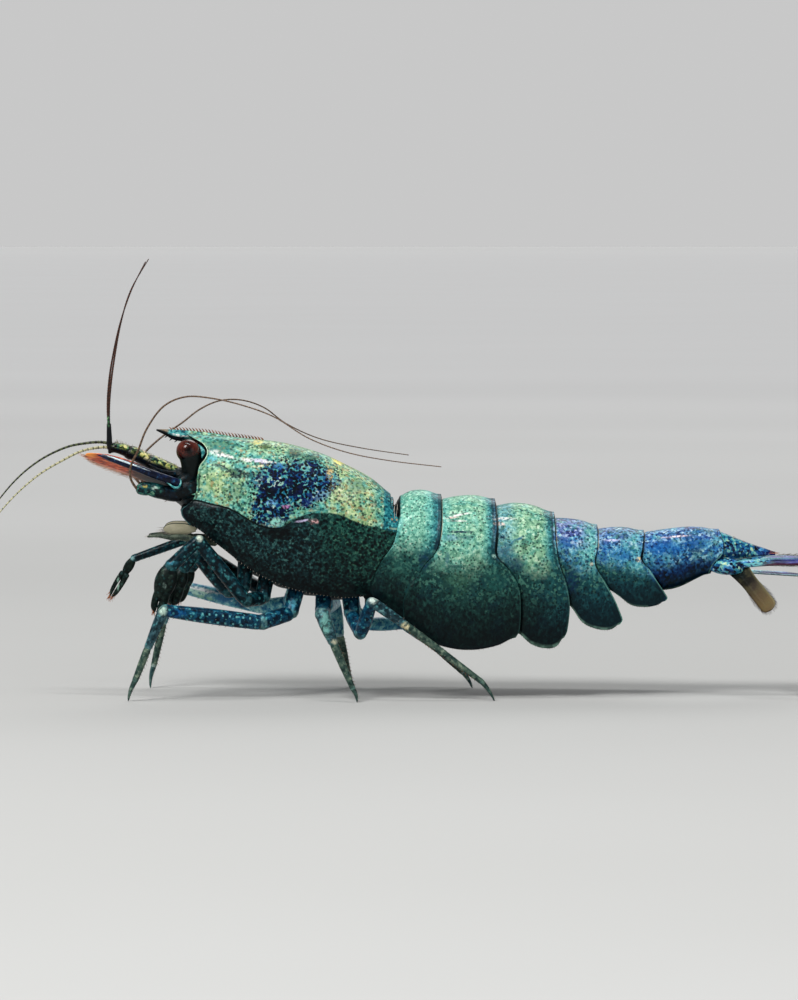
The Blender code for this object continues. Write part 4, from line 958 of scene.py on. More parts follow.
def bristle_look(name, colour):
    look = Look(name, roughness=0.45)
    body = look.mix(look.noise(8.0, 1.0), colour, (*[c * SHADED for c in linear(colour)], 1.0))
    return look.paint(body)


def face_look():
    look = Look("face_skin", roughness=0.42, metallic=0.0, coat=0.05)
    body = look.palette(look.grain(8.0, 0.45), [INK, (2, 7, 9), (3, 14, 18), (7, 34, 42), (50, 104, 100)],
        0.1, 1.0)
    lobe = look.mark("lobe")
    body.lay(lobe, look.palette(look.grain(7.0, 0.3), [(6, 40, 48), (40, 130, 134), (150, 214, 206)], 0.1,
        0.8))
    return look.paint(body, None, look.noise(8.0, 3.0), 0.03)


def feeler_base_look():
    """Stems of the feelers: navy below, gold-green grains on top, dark at each joint."""
    look = Look("feeler_stem", roughness=0.34, metallic=0.06, coat=0.12)
    field = look.grain(8.0, 0.5)
    top = look.palette(field, GOLDS, 0.2, 0.84)
    top.lay(look.clouds(2.6, 2.0, 0.5, 0.62), look.palette(field,
        [INK, (10, 44, 40), (44, 104, 80), (120, 170, 116), (206, 186, 150)], 0.2, 0.84))
    under = look.palette(field, [(1, 2, 6), (2, 7, 14), (5, 20, 32), (16, 70, 92)], 0.2, 0.95)
    body = look.mix(look.mark("upper"), under, top)
    body.lay(look.mark("lower"), look.palette(field, [INK, (6, 34, 40), (18, 80, 82), (66, 136, 114),
        (176, 206, 160)], 0.2, 0.94))
    body.lay(look.mark("joint") * 0.9, (2, 4, 6))
    body = look.dabs(body, [(-10.55, 9.42, 0.12, 0.08, (190, 214, 200), 0.9),
        (-10.98, 9.5, 0.1, 0.06, (206, 190, 96), 0.7)], field)
    return look.paint(body, 0.28 + field * 0.14, field, 0.02)


LOOKS = {
    "carapace": carapace_look(),
    "pleon": pleon_look(),
    "tail": tail_look(),
    "hanging_fin": hanging_fin_look(),
    "face": face_look(),
    "eye": eye_look(),
    "stalk": plain_look("eye_stalk", (4, 10, 11), (10, 22, 22), 0.45, coat=0.03),
    "feeler_base": feeler_base_look(),
    "upright_whip": whip_look("upright_whip", (74, 44, 32), (44, 30, 26), 0.02, 0.3, (0.125, 0.175)),
    "forward_whip": whip_look("forward_whip", (84, 92, 62), (26, 30, 24), 0.03, 0.4),
    "pale_whip": whip_look("pale_whip", (190, 186, 146), (70, 70, 50), 0.03, 0.16),
    "long_whip": whip_look("long_whip", (112, 90, 70), (84, 66, 54), 0.012),
    "scale": scale_look(),
    # highlights_and_patches: painted highlights on knees, joints and the far leg's upper edge, and patches
    # of the limbs' own colour.
    "claw": limb_look("claw_shell", PALM, (40, 80, 86), gloss=0.4, dots=0.04, coat=0.05,
        highlights_and_patches=[(-10.08, 5.1, 0.07, 0.12, (140, 166, 156), 0.7),
        (-10.55, 5.5, 0.12, 0.14, (60, 100, 100), 0.5),
        (-12.4, 4.9, 0.05, 0.3, (150, 190, 170), 0.8, 0.0)]),
    "claw_arm": limb_look("claw_arm_shell", DARK_LIMB, (70, 124, 126), dots=0.24,
        highlights_and_patches=[(-8.53, 7.2, 0.13, 0.14, (214, 226, 206), 1.0),
        (-11.75, 6.02, 0.08, 0.08, (150, 190, 190), 0.8), (-9.75, 6.1, 0.22, 0.08, (60, 130, 150), 0.8)]),
    "leg": limb_look("leg_shell", NEAR_LIMB, (120, 168, 160), dots=0.38, tip=OLIVE_LIMB,
        highlights_and_patches=[(-10.12, 4.03, 0.18, 0.18, (180, 206, 190), 0.9),
        (-9.5, 3.9, 0.36, 0.16, (16, 84, 140), 0.9), (-4.35, 4.2, 0.1, 0.22, (96, 180, 206), 0.9, 0.6),
        (-2.9, 3.4, 0.2, 0.5, (120, 178, 168), 0.9), (-2.5, 2.7, 0.13, 0.1, (206, 200, 170), 0.9),
        (-0.79, 4.5, 0.2, 0.14, (206, 220, 210), 0.9), (0.63, 3.36, 0.16, 0.16, (226, 214, 170), 1.0)],
        rows=[((-9.24, 3.62), (-6.37, 3.33), 0.34), ((-8.52, 3.9), (-6.0, 3.62), 0.3)]),
    "far_leg": limb_look("far_leg_shell", FAR_LIMB, (190, 214, 210), dots=0.1, tip=OLIVE_LIMB,
        highlights_and_patches=[(-8.75, 4.44, 0.5, 0.2, (186, 224, 208), 0.9, -0.23),
        (-7.6, 4.2, 0.4, 0.24, (40, 100, 150), 0.9), (-6.75, 4.0, 0.34, 0.26, (14, 50, 92), 0.9),
        (-8.5, 4.2, 0.5, 0.08, (120, 170, 140), 0.8, -0.23),
        (-8.62, 4.57, 0.7, 0.08, (240, 244, 244), 1.0, -0.23)]),
    # Painted shade: the underside is near-black.
    "keel": plain_look("keel_skin", (2, 7, 9), (7, 24, 29), 0.45, coat=0.03),
    "swimmeret": plain_look("swimmeret_skin", (10, 38, 52), (44, 98, 116), 0.4, coat=0.08),
    "mouthpart": plain_look("mouthpart_skin", (44, 56, 50), (92, 104, 88), 0.42, coat=0.05),
    "flap": plain_look("pale_blade", (196, 190, 160), (214, 208, 180), 0.4, coat=0.05, scale=2.0),
    "flap_rim": plain_look("blade_rim", (40, 50, 42), (72, 80, 64), 0.4),
    "tooth": plain_look("tooth_horn", (140, 84, 52), (84, 58, 46), 0.38, coat=0.05),
    "bristle": bristle_look("pale_bristle", (196, 186, 172)),
    "pink_bristle": bristle_look("pink_bristle", (206, 160, 136)),
    "dark_bristle": bristle_look("dark_bristle", (54, 40, 32)),
    "amber_bristle": bristle_look("amber_bristle", (176, 104, 62)),
}


# The shell

def section(waist, tuck, skirt=20, crown=34):
    """(height share, width share) pairs from the left lower edge over the back to the right one."""
    k = np.linspace(0, 1, skirt, endpoint=False)
    low = np.stack([waist * k, 1 - tuck * (1 - k) ** 2], 1)
    turn = np.linspace(0, math.pi / 2, crown)
    high = np.stack([waist + (1 - waist) * np.sin(turn), np.maximum(np.cos(turn), 0) ** 0.95], 1)
    half = np.concatenate([low, high])
    half[-1] = (1, 0)
    return np.concatenate([half * (1, -1), half[-2::-1]])


def arch(form, front, rear, tops, lows, halves, belly, pairs, stations, lift, sag=0.1, look=0, mark=None,
        reach=None):
    """A shell ring: an outer arch, thin side flaps and a soft belly between them.

    stations are (share along, extra) pairs; reach turns extra into a push along x, extra itself when
    left out. lift gives how far the outer face is raised.
    """
    h, w = pairs[:, 0], pairs[:, 1]
    rows, marks = [], {}
    for t, extra in stations:
        top, low, half = float(tops(t)), float(lows(t)), float(halves(t))
        y, z = w * half, low + h * (top - low)
        dy, dz = np.gradient(y), np.gradient(z)
        size = np.hypot(dy, dz)
        out_y, out_z = -dz / size, dy / size
        push = reach(t, extra, h) if reach else extra
        x_outer = (1 - t) * front(z) + t * rear(z) + push
        rise = lift(t, extra, h, x_outer, z)
        floor = belly(low)
        limit = (floor - low) / (top - low)
        flap = h < limit
        inner_half = half - FLAP
        inner_y = np.where(flap, w * inner_half, np.sign(w) * (1 - h) / (1 - limit) * inner_half)
        bulge = sag * (1 - np.clip(np.abs(inner_y) / inner_half, 0, 1) ** 2)
        inner_z = np.where(flap, z, floor - bulge)
        x_inner = (1 - t) * front(inner_z) + t * rear(inner_z) + np.where(flap, push, extra)
        outer = np.stack([x_outer, y + out_y * rise, z + out_z * rise], 1)
        inner = np.stack([x_inner, inner_y, inner_z], 1)
        rows.append(np.concatenate([outer, inner[::-1]]))
        given = mark(t, extra, h, z, rear(z) - front(z)) if mark else {}
        # The inner mark is painted dark as shade in the looks.
        given["inner"] = np.zeros_like(h)
        given["height"] = h
        for key, value in given.items():
            lining = np.ones_like(h) if key == "inner" else value[::-1]
            marks.setdefault(key, []).append(np.concatenate([value, lining]))
    return form.grid(np.array(rows), caps="strip", look=look,
        **{k: np.array(v) for k, v in marks.items()})


def edge_bristles(form, rows, pairs, spacing, length, lean, look):
    """Fine bristles along both lower edges of a shell ring."""
    for k, side in ((0, LEFT), (len(pairs) - 1, RIGHT)):
        edge = rows[:, k]
        run = run_of(edge)
        for place in np.arange(spacing, run[-1] - spacing, spacing):
            at = point_at(place, run, edge)
            way = np.array((lean + draws.uniform(-0.2, 0.2), side * draws.uniform(0.0, 0.25), -1.0))
            hair(form, at + UP * 0.03, way, length * draws.uniform(0.6, 1.1), 0.008, look=look)


def value_along(values):
    values = list(values)
    if len(values) == 2:
        return lambda t: values[0] + (values[1] - values[0]) * t
    return lambda t: smooth(values, shares=t)[0]


def shell_rings():
    """Six rings; each rear rim laps over the next one, and the second ring's flaps over both neighbours."""
    for k, ring in enumerate(RINGS):
        number = k + 1
        front, rear = line_at_height(SEAMS[k]), line_at_height(SEAMS[k + 1])
        last = number == len(RINGS)
        stations = [(0.0, e) for e in (-0.42, -0.34, -0.26, -0.18, -0.1, -0.04)]
        shares = np.concatenate([np.linspace(0, 0.07, 8), np.linspace(0.1, 0.9, 32),
            np.linspace(0.92, 1, 9)])
        stations += [(t, 0.0) for t in shares]
        stations += [(1.0, LIP * e) for e in (0.3, 0.6, 0.85, 1.0, 1.0)]

        def reach(t, extra, h, number=number, last=last):
            if t == 0:
                return extra * (1 - 0.65 * ramp(h, 0.5, 0.25)) if number == 2 else extra
            corner = 0.0 if last else CORNER * np.clip(1 - h / CORNER_SHARE, 0, 1) ** 2 * ramp(t, 0.8,
                1.0)
            return extra * (1 - 0.8 * ramp(h, 0.5, 0.25)) - corner

        def lift(t, extra, h, x, z, number=number, last=last):
            low = ramp(h, 0.5, 0.25) if number == 2 and t <= 0.5 else ramp(h, 0.42, 0.3)
            if t <= 0.5:
                depth = 0.15 + (0.1 * ramp(h, 0.7, 0.9) if number == 1 else 0.0)
                inset = -depth * (ramp(extra, 0.02, -0.14) + 0.6 * bump(t, 0, 0.03))
                over = 0.05 * ramp(extra, -0.44, -0.3) * np.ones_like(h)
                base = inset * (1 - low) + over * low if number == 2 else inset * np.ones_like(h)
            else:
                base = np.zeros_like(h)
                under = -0.12 * ramp(t, 0.9, 1.0)
                lip = 0.03 * bump(t, 1.0, 0.06)
                roll = -0.13 * ramp(extra / LIP, 0.6, 1.0)
                base += (lip + roll) * (1 - low) + (under if number == 1 else lip + roll) * low
            swell = 0.0 if number in (1, 6) else 0.05 * math.sin(math.pi * t)
            return base + swell * ramp(h, 0.2, 0.6)

        def mark(t, extra, h, z, length, number=number):
            behind = (1 - t) * length
            low = ramp(h, 0.55, 0.42)
            rim = bump(behind, 0.0, 0.03) * low * (extra < 0.6 * LIP) * (0.35 if number in (2, 3)
                else 1.0)
            if number == 2 and t == 0:
                rim = rim + 0.5 * bump(extra, -0.4, 0.06) * ramp(h, 0.4, 0.3)
            # fold: painted shade, near-black on the faces tucked under the neighbouring rims, and on ring 1
            # in the gap behind the shield.
            fold = np.full_like(h, ramp(extra, -0.01, -0.05)) if t == 0 else ramp(extra / LIP, 0.2,
                0.6) * (1 - low)
            if number == 2 and t == 0:
                fold = fold * (1 - ramp(h, 0.5, 0.3))
            if number == 1:
                fold = np.maximum(fold, ramp(t * length, 0.16, 0.1) * ramp(h, 0.76, 0.84))
            collar = bump(t * length, 0.06, 0.035) * ramp(h, 0.66, 0.76) * (number > 1)
            return {"place": np.full_like(h, number + t * 0.999), "rim": np.clip(0.8 * rim, 0, 1),
                "hem": 0.7 * ramp(h, 0.024, 0.008) * (number != 5 or t < 0.6), "fold": fold,
                "collar": collar}

        form = Form()
        floor = ring["belly"]
        pairs = section(ring["waist"], ring["tuck"], 34, 40)

        def belly(low, floor=floor, last=last):
            return low + 0.02 if last else floor

        rows = arch(form, front, rear, value_along(ring["back"]), value_along(ring["edge"]),
            value_along(ring["widths"]), belly, pairs, stations, lift, mark=mark, reach=reach,
            sag=0.05 if last else 0.12)
        if not last:
            edge_bristles(form, rows[8:-6], pairs, 0.11, 0.1, 0.35, look=1)
        if number == 1:
            for root, way in (((0.16, -1.72, 8.02), (0.02, 0.62, 1.0)),
                    ((0.24, -1.66, 8.12), (0.1, 0.6, 1.0)), ((0.12, -1.5, 8.34), (0.24, 0.85, 1.0)),
                    ((0.3, -1.46, 8.4), (-0.1, 0.85, 1.0))):
                hair(form, root, way, 0.6, 0.014, look=2)
        form.piece(f"shell_ring_{number}", [f"pleon_{number}"],
            ["pleon", "dark_bristle", "bristle"])


def carapace():
    """The shield with its rolled margins, the blade over the eyes and the teeth on it."""
    front, rear = line_at_height(CARAPACE_FRONT), line_at_height(SEAMS[0])
    stations = [(0.0, e) for e in (0.5, 0.28, 0.12, 0.04, 0.01)]
    shares = np.concatenate([np.linspace(0, 0.02, 9), np.linspace(0.026, 0.98, 110),
        np.linspace(0.985, 1, 5)])
    stations += [(t, 0.0) for t in shares]
    stations += [(1.0, LIP * e) for e in (0.3, 0.6, 0.85, 1.0, 1.0)]
    groove = smooth(GROOVE, 200)
    cheek = smooth(CHEEK_GROOVE, 60)
    tops, lows = value_along(CARAPACE["back"]), value_along(CARAPACE["edge"])

    def reach(t, extra, h):
        return extra - 0.26 * ramp(h, 0.76, 0.95) * ramp(t, 0.96, 1.0) if t > 0.5 else extra

    def lift(t, extra, h, x, z):
        flap = ramp(z, float(lows(t)) + VAULT + 0.1, float(lows(t)) + VAULT - 0.2)
        rise = np.zeros_like(h)
        if t == 0.0:
            rise += -0.3 * ramp(extra, 0, 0.3) * (1 - flap) - 0.09 * ramp(extra, 0, 0.06) * flap
        if t == 1.0:
            rise += -0.13 * ramp(extra / LIP, 0.5, 1.0)
        rise += 0.02 * bump(t, 1.0, 0.02)
        rise += 0.03 * bump(t, 0.004, 0.006)
        away = z - np.interp(x, groove[:, 0], groove[:, 1])
        rise += (-0.035 * bump(away, 0.0, 0.06) + 0.012 * bump(away, 0.16, 0.1)) * ramp(x, -0.3, -0.8)
        fall = z - np.interp(x, cheek[:, 0], cheek[:, 1])
        rise += -0.03 * bump(fall, 0.0, 0.06) * ramp(x, -8.0, -7.8) * ramp(x, -6.85, -7.05)
        rise += 0.012 * np.sin(2.1 * x + 1.3 * z) * np.sin(1.7 * z - 0.6 * x)
        return rise + 0.03 * bump(h, 0.0, 0.012)

    def mark(t, extra, h, z, length):
        orbit = ramp(z, 10.2, 10.4) * ramp(z, 11.6, 11.4)
        corner = ramp(z, 8.7, 8.5)
        ahead = t * length
        rim = bump(ahead, 0.02, 0.03) * (orbit + 0.4 * corner)
        line = bump(ahead, 0.1, 0.035) * ramp(z, 10.2, 10.0) * ramp(z, 8.7, 8.9)
        # fold: painted shade on the faces that turn in under the front margin and the rear lip, with a thin
        # dark line just behind the front margin.
        fold = ramp(extra, 0.0, 0.06) if t == 0 else ramp(extra / LIP, 0.4, 0.8) + 0.85 * line
        hinge = ramp((1 - t) * length, 0.85, 0.35)
        return {"rim": np.clip(rim, 0, 1), "hinge": hinge, "fold": np.clip(fold * np.ones_like(h), 0, 1)}

    form = Form()
    pairs = section(CARAPACE["waist"], CARAPACE["tuck"], 48, 64)
    rows = arch(form, front, rear, tops, lows, value_along(CARAPACE["widths"]), lambda low: low + VAULT,
        pairs, stations, lift, sag=0.05, mark=mark, reach=reach)
    edge_bristles(form, rows[8:-8], pairs, 0.16, 0.08, -0.3, look=2)
    rostrum(form)
    for side in (LEFT, RIGHT):
        spine = [(-8.5, side * 1.5, 9.12), (-8.68, side * 1.56, 9.12), (-8.9, side * 1.58, 9.11)]
        tube(form, smooth(spine, 10), np.linspace(0.1, 0.012, 10), look=0)
    form.piece("carapace_shield", ["carapace"], ["carapace", "tooth", "bristle"])


def rostrum(form):
    """A thin blade that widens into the back of the shield, with fine spines along it."""
    x = np.concatenate([np.linspace(-10.55, -10.0, 14), np.linspace(-9.95, -6.0, 70)])
    upper = line_through_x(ROSTRUM_UPPER)(x)
    lower = line_through_x(ROSTRUM_LOWER)(x)
    grown = ramp(x, -10.6, -9.6)
    thick = 0.035 + 0.1 * grown + 0.14 * np.maximum(0, x + 8.9)
    around = circle(32)
    middle = lower + 0.45 * (upper - lower)
    half = 0.5 * (upper - lower)
    ring_z = np.sin(around)
    ridge = np.maximum(np.abs(np.cos(around)), 1e-6) ** 0.8 * np.sign(np.cos(around))
    z = np.where(ring_z > 0, middle[:, None] + ring_z * (upper - middle)[:, None],
        middle[:, None] + ring_z * (middle - lower)[:, None])
    rib = 0.06 * bump(ring_z, 0.1, 0.2) * grown[:, None] * np.minimum(half[:, None] / 0.2, 1)
    y = ridge * thick[:, None] * (1 - 0.35 * np.clip(ring_z, 0, 1)) + np.sign(ridge) * rib
    form.grid(np.stack([np.broadcast_to(x[:, None], y.shape), y, z], -1), look=0)
    for k in range(ROSTRUM_TEETH):
        at = -9.9 + 4.1 * k / (ROSTRUM_TEETH - 1)
        size = 0.155 * (0.6 + 0.4 * math.sin(math.pi * (k + 1.5) / (ROSTRUM_TEETH + 1)))
        top = tooth_line(at)
        path = smooth([(at + 0.05, 0, top - 0.05), (at - 0.01, 0, top + 0.5 * size),
            (at - 0.08, 0, top + size)], 6)
        tube(form, path, np.linspace(0.042, 0.006, 6), sides=7, look=1, dome=False)
        hair(form, (at + 0.07, 0, top), (-0.8, 0, 1), 0.12, 0.007, look=2)
    for k in range(LOWER_TEETH):
        at = -10.1 + 0.22 * k
        low = float(line_through_x(ROSTRUM_LOWER)(at))
        path = [(at + 0.04, 0, low + 0.04), (at - 0.03, 0, low - 0.04), (at - 0.09, 0, low - 0.07)]
        tube(form, smooth(path, 6), np.linspace(0.04, 0.008, 6), sides=7, look=0, dome=False)


def tooth_line(x):
    """Height of the upper edge of the blade and of the back behind it."""
    back = value_along(CARAPACE["back"])
    share = (x - BACK_FROM) / BACK_LENGTH
    behind = float(back(max(share, 0.0)))
    blade = float(line_through_x(ROSTRUM_UPPER)(x))
    return max(blade, behind if x > BACK_FROM else 0.0)


def line_through_x(points):
    line = smooth(points, 200)
    order = np.argsort(line[:, 0])
    return lambda x: np.interp(x, line[order, 0], line[order, 1])


def edge_height(x):
    """Height of the carapace's lower edge at x."""
    share = (x - CARAPACE_FRONT[0][0]) / (SEAMS[0][0][0] - CARAPACE_FRONT[0][0])
    return float(value_along(CARAPACE["edge"])(share))


# Tail fan

TELSON_REACH = (14.45, 17.3)
TELSON_STEPS = 50


def telson():
    form = Form()
    x = np.linspace(*TELSON_REACH, TELSON_STEPS)
    top = smooth([7.46, 7.32, 7.12, 6.92, 6.74, 6.58, 6.42], TELSON_STEPS)
    low = smooth([5.9, 6.0, 6.06, 6.12, 6.17, 6.22, 6.26], TELSON_STEPS)
    half = smooth([0.72, 0.78, 0.7, 0.58, 0.46, 0.36, 0.05], TELSON_STEPS)
    around = circle(36)
    c, s = np.cos(around), np.sin(around)
    y = squared(c, 0.8) * half[:, None]
    ridge = 0.05 * bump(np.abs(c), 0.42, 0.12) * (s > 0)
    z = np.where(s > 0, low[:, None] + 0.4 * (top - low)[:, None] + 0.6 * (top - low)[:, None] * s
        + ridge, low[:, None] + 0.4 * (top - low)[:, None] * (1 + s))
    form.grid(np.stack([np.broadcast_to(x[:, None], y.shape), y, z], -1), rim=bump(s, -0.4, 0.15)[None])
    for k in range(5):
        at = 15.3 + 0.42 * k
        for side in (LEFT, RIGHT):
            up = float(np.interp(at, x, top)) - 0.1
            y0 = side * 0.5 * float(np.interp(at, x, half))
            hair(form, (at, y0, up), (1.0, side * 0.15, 0.25), 0.2, 0.024, look=1)
    for k in range(9):
        spread = (k - 4) / 4
        hair(form, (17.1 - 0.1 * abs(spread), 0.24 * spread, 6.4), (1.0, 0.35 * spread, -0.02), 0.42,
            0.014, look=1)
    form.piece("tail_spike", ["telson"], ["tail", "amber_bristle"])


def tail_fan():
    inner_tips = {LEFT: (19.3, -0.95, 6.05), RIGHT: (19.25, 1.0, 5.94)}
    inner_across = {LEFT: (0, -1, -0.42), RIGHT: (0, 1, -0.42)}
    inner_roots = {LEFT: (15.2, -0.72, 5.88), RIGHT: (15.15, 0.72, 5.94)}
    inner_bows = {LEFT: 0.15, RIGHT: 0.1}
    outer_tips = {LEFT: (16.97, -3.3, 4.0), RIGHT: (18.9, 2.75, 5.2)}
    outer_across = {LEFT: (0.75, -0.1, 0.55), RIGHT: (-0.25, 1.0, 0.05)}
    outer_roots = {LEFT: (15.55, -0.75, 5.8), RIGHT: (15.4, 1.2, 5.5)}
    for side, word in SIDES.items():
        base = Form()
        path = smooth(mirrored(side, [(14.35, 0.5, 5.84), (14.7, 0.6, 5.84), (15.1, 0.76, 5.84),
            (15.65, 0.92, 5.78)]), 24)
        tube(base, path, smooth([0.26, 0.4, 0.46, 0.34], 24), sides=24, flat=0.85)
        hair(base, (15.4, side * 1.1, 5.62), (1, side * 0.3, 0), 0.25, 0.04)
        base.piece(f"fan_root_{word}", [f"uropod_base_{word}"], ["tail"])
        inner = Form()
        rims = leaf(inner, inner_roots[side], np.array(inner_tips[side]) - ALONG * 0.22,
            inner_across[side], 0.48, thick=0.14, bow=inner_bows[side], rib=0.06, root_share=0.6,
            steps=60)
        fringe(inner, rims, 0.05, 0.3, start=0.4)
        inner.piece(f"fan_inner_{word}", [f"uropod_inner_{word}"], ["tail", "dark_bristle"])
        outer = Form()
        root = np.array(outer_roots[side])
        tip = np.array(outer_tips[side])
        tip = tip - unit(tip - root) * 0.12
        if side == LEFT:
            rims = leaf(outer, root, tip, outer_across[side], 0.37, thick=0.08, rib=0.015, rib_at=-0.4,
                root_share=1.32, round_from=0.84, blunt=4.0, steps=60)
        else:
            rims = leaf(outer, root, tip, outer_across[side], 0.56, thick=0.1, rib=0.05, rib_at=0.55,
                steps=60)
        fringe(outer, rims, 0.045, 0.2, start=0.45)
        finish = "hanging_fin" if side == LEFT else "tail"
        outer.piece(f"fan_outer_{word}", [f"uropod_outer_{word}"], [finish, "dark_bristle"])


# Head

def face():
    """The dark lumps between the eyes, the feelers and the mouth."""
    levels = [(7.75, 0.45, -9.1, -8.5), (8.05, 0.7, -9.2, -8.4), (8.35, 0.95, -9.3, -8.3),
        (8.6, 1.28, -9.5, -8.2), (8.75, 1.35, -9.66, -8.15), (9.05, 1.5, -9.7, -8.1),
        (9.35, 1.5, -9.7, -8.0), (9.65, 1.34, -9.66, -7.95), (9.95, 1.1, -9.56, -7.9),
        (10.25, 0.9, -9.3, -7.8), (10.6, 0.85, -8.9, -7.7), (11.0, 0.9, -8.62, -7.6),
        (11.3, 0.5, -8.4, -7.6)]
    form = Form()
    rings = smooth(levels, 40)
    turn = circle(44)
    rows = []
    for z, half, front, back in rings:
        c, s = np.cos(turn), np.sin(turn)
        x = (front + back) / 2 + (back - front) / 2 * squared(c, 0.8)
        y = half * squared(s, 0.8)
        lumps = 0.04 * np.sin(5 * turn + 3 * z) * np.sin(4.1 * z)
        rows.append(np.stack([x + lumps * c, y + lumps * s, np.full_like(x, z)], 1))
    form.grid(rows)
    for side in (LEFT, RIGHT):
        stem(form, mirrored(side, [(-8.7, 1.1, 9.35), (-9.2, 1.26, 9.3), (-9.75, 1.32, 9.2)]),
            [0.4, 0.46, 0.34], 12, sides=20)
        stem(form, mirrored(side, [(-8.75, 0.95, 9.9), (-9.2, 1.2, 9.75), (-9.5, 1.35, 9.55)]),
            [0.3, 0.32, 0.22], 12, sides=16)
        stem(form, mirrored(side, [(-8.9, 0.45, 9.75), (-9.4, 0.46, 9.85), (-9.9, 0.44, 10.02)]),
            [0.32, 0.36, 0.28], 12, sides=20)
        stem(form, mirrored(side, [(-8.9, 0.9, 8.5), (-9.15, 1.0, 8.45), (-9.3, 0.95, 8.35)]),
            [0.3, 0.28, 0.16], 12, sides=20)
        socket = smooth(mirrored(side, [(-8.62, 1.0, 11.3), (-8.46, 1.12, 11.14), (-8.41, 1.2, 10.96),
            (-8.46, 1.2, 10.74)]), 26)
        tube(form, socket, smooth([0.03, 0.07, 0.085, 0.03], 26), sides=14, lobe=1.0)
        # A thin light turquoise loop at the root of the feeler scale: partly its own colour, partly a
        # painted highlight.
        rim = smooth(mirrored(side, [(-10.1, 1.7, 9.71), (-9.9, 1.78, 9.58), (-9.66, 1.84, 9.43),
            (-9.47, 1.84, 9.47), (-9.38, 1.82, 9.66), (-9.42, 1.78, 9.82)]), 26)
        tube(form, rim, smooth([0.012, 0.035, 0.055, 0.05, 0.04, 0.015], 26), sides=10, lobe=1.0)
        for _ in range(14):
            share = draws.random()
            at = np.array((-9.6 - 0.5 * share, side * draws.uniform(1.3, 1.6), 9.05 - 0.25 * share))
            hair(form, at, (-0.8, side * 0.2, -0.6), draws.uniform(0.08, 0.18), 0.009, look=1)
    form.piece("face_lumps", ["head"], ["face", "bristle"])


def eyes():
    for side, word in SIDES.items():
        centre = EYE_CENTRE * (1, side, 1)
        ball = Form()
        tilt = np.linspace(0.02, math.pi - 0.02, 40)
        turn = circle(56)
        rows = centre + EYE_RADIUS * np.stack([np.sin(tilt)[:, None] * np.cos(turn),
            np.sin(tilt)[:, None] * np.sin(turn), 0.99 * np.cos(tilt)[:, None] * np.ones_like(turn)], -1)
        ball.grid(rows)
        ball.piece(f"eyeball_{word}", [f"eye_{word}"], ["eye"])
        stalk = Form()
        path = smooth([(-8.88, side * 0.72, 9.8), (-8.92, side * 0.92, 10.12), (-8.96, side * 1.06, 10.5),
            centre + (0.05, 0, -0.16)], 20)
        tube(stalk, path, smooth([0.52, 0.47, 0.45, 0.47], 20), sides=24)
        stalk.piece(f"eye_stem_{word}", [f"eyestalk_{word}"], ["stalk"])


def whip(form, line, radius, end, look=0, pitch=0.12, start=0.0, thin=0.8):
    """A ringed feeler that thins towards its tip, early where thin is low; returns its path."""
    rough = smooth(line, 200)
    run = run_of(rough)
    count = int(run[-1] / pitch) * 4
    places = np.linspace(0, run[-1], count)
    path = np.stack([np.interp(places, run, rough[:, i]) for i in range(3)], 1)
    u = places / run[-1]
    rings = 1 + 0.1 * np.sin(2 * math.pi * places / pitch)
    tube(form, path, (radius + (end - radius) * u**thin) * rings, sides=7, look=look,
        along=start + (1 - start) * u)
    return path


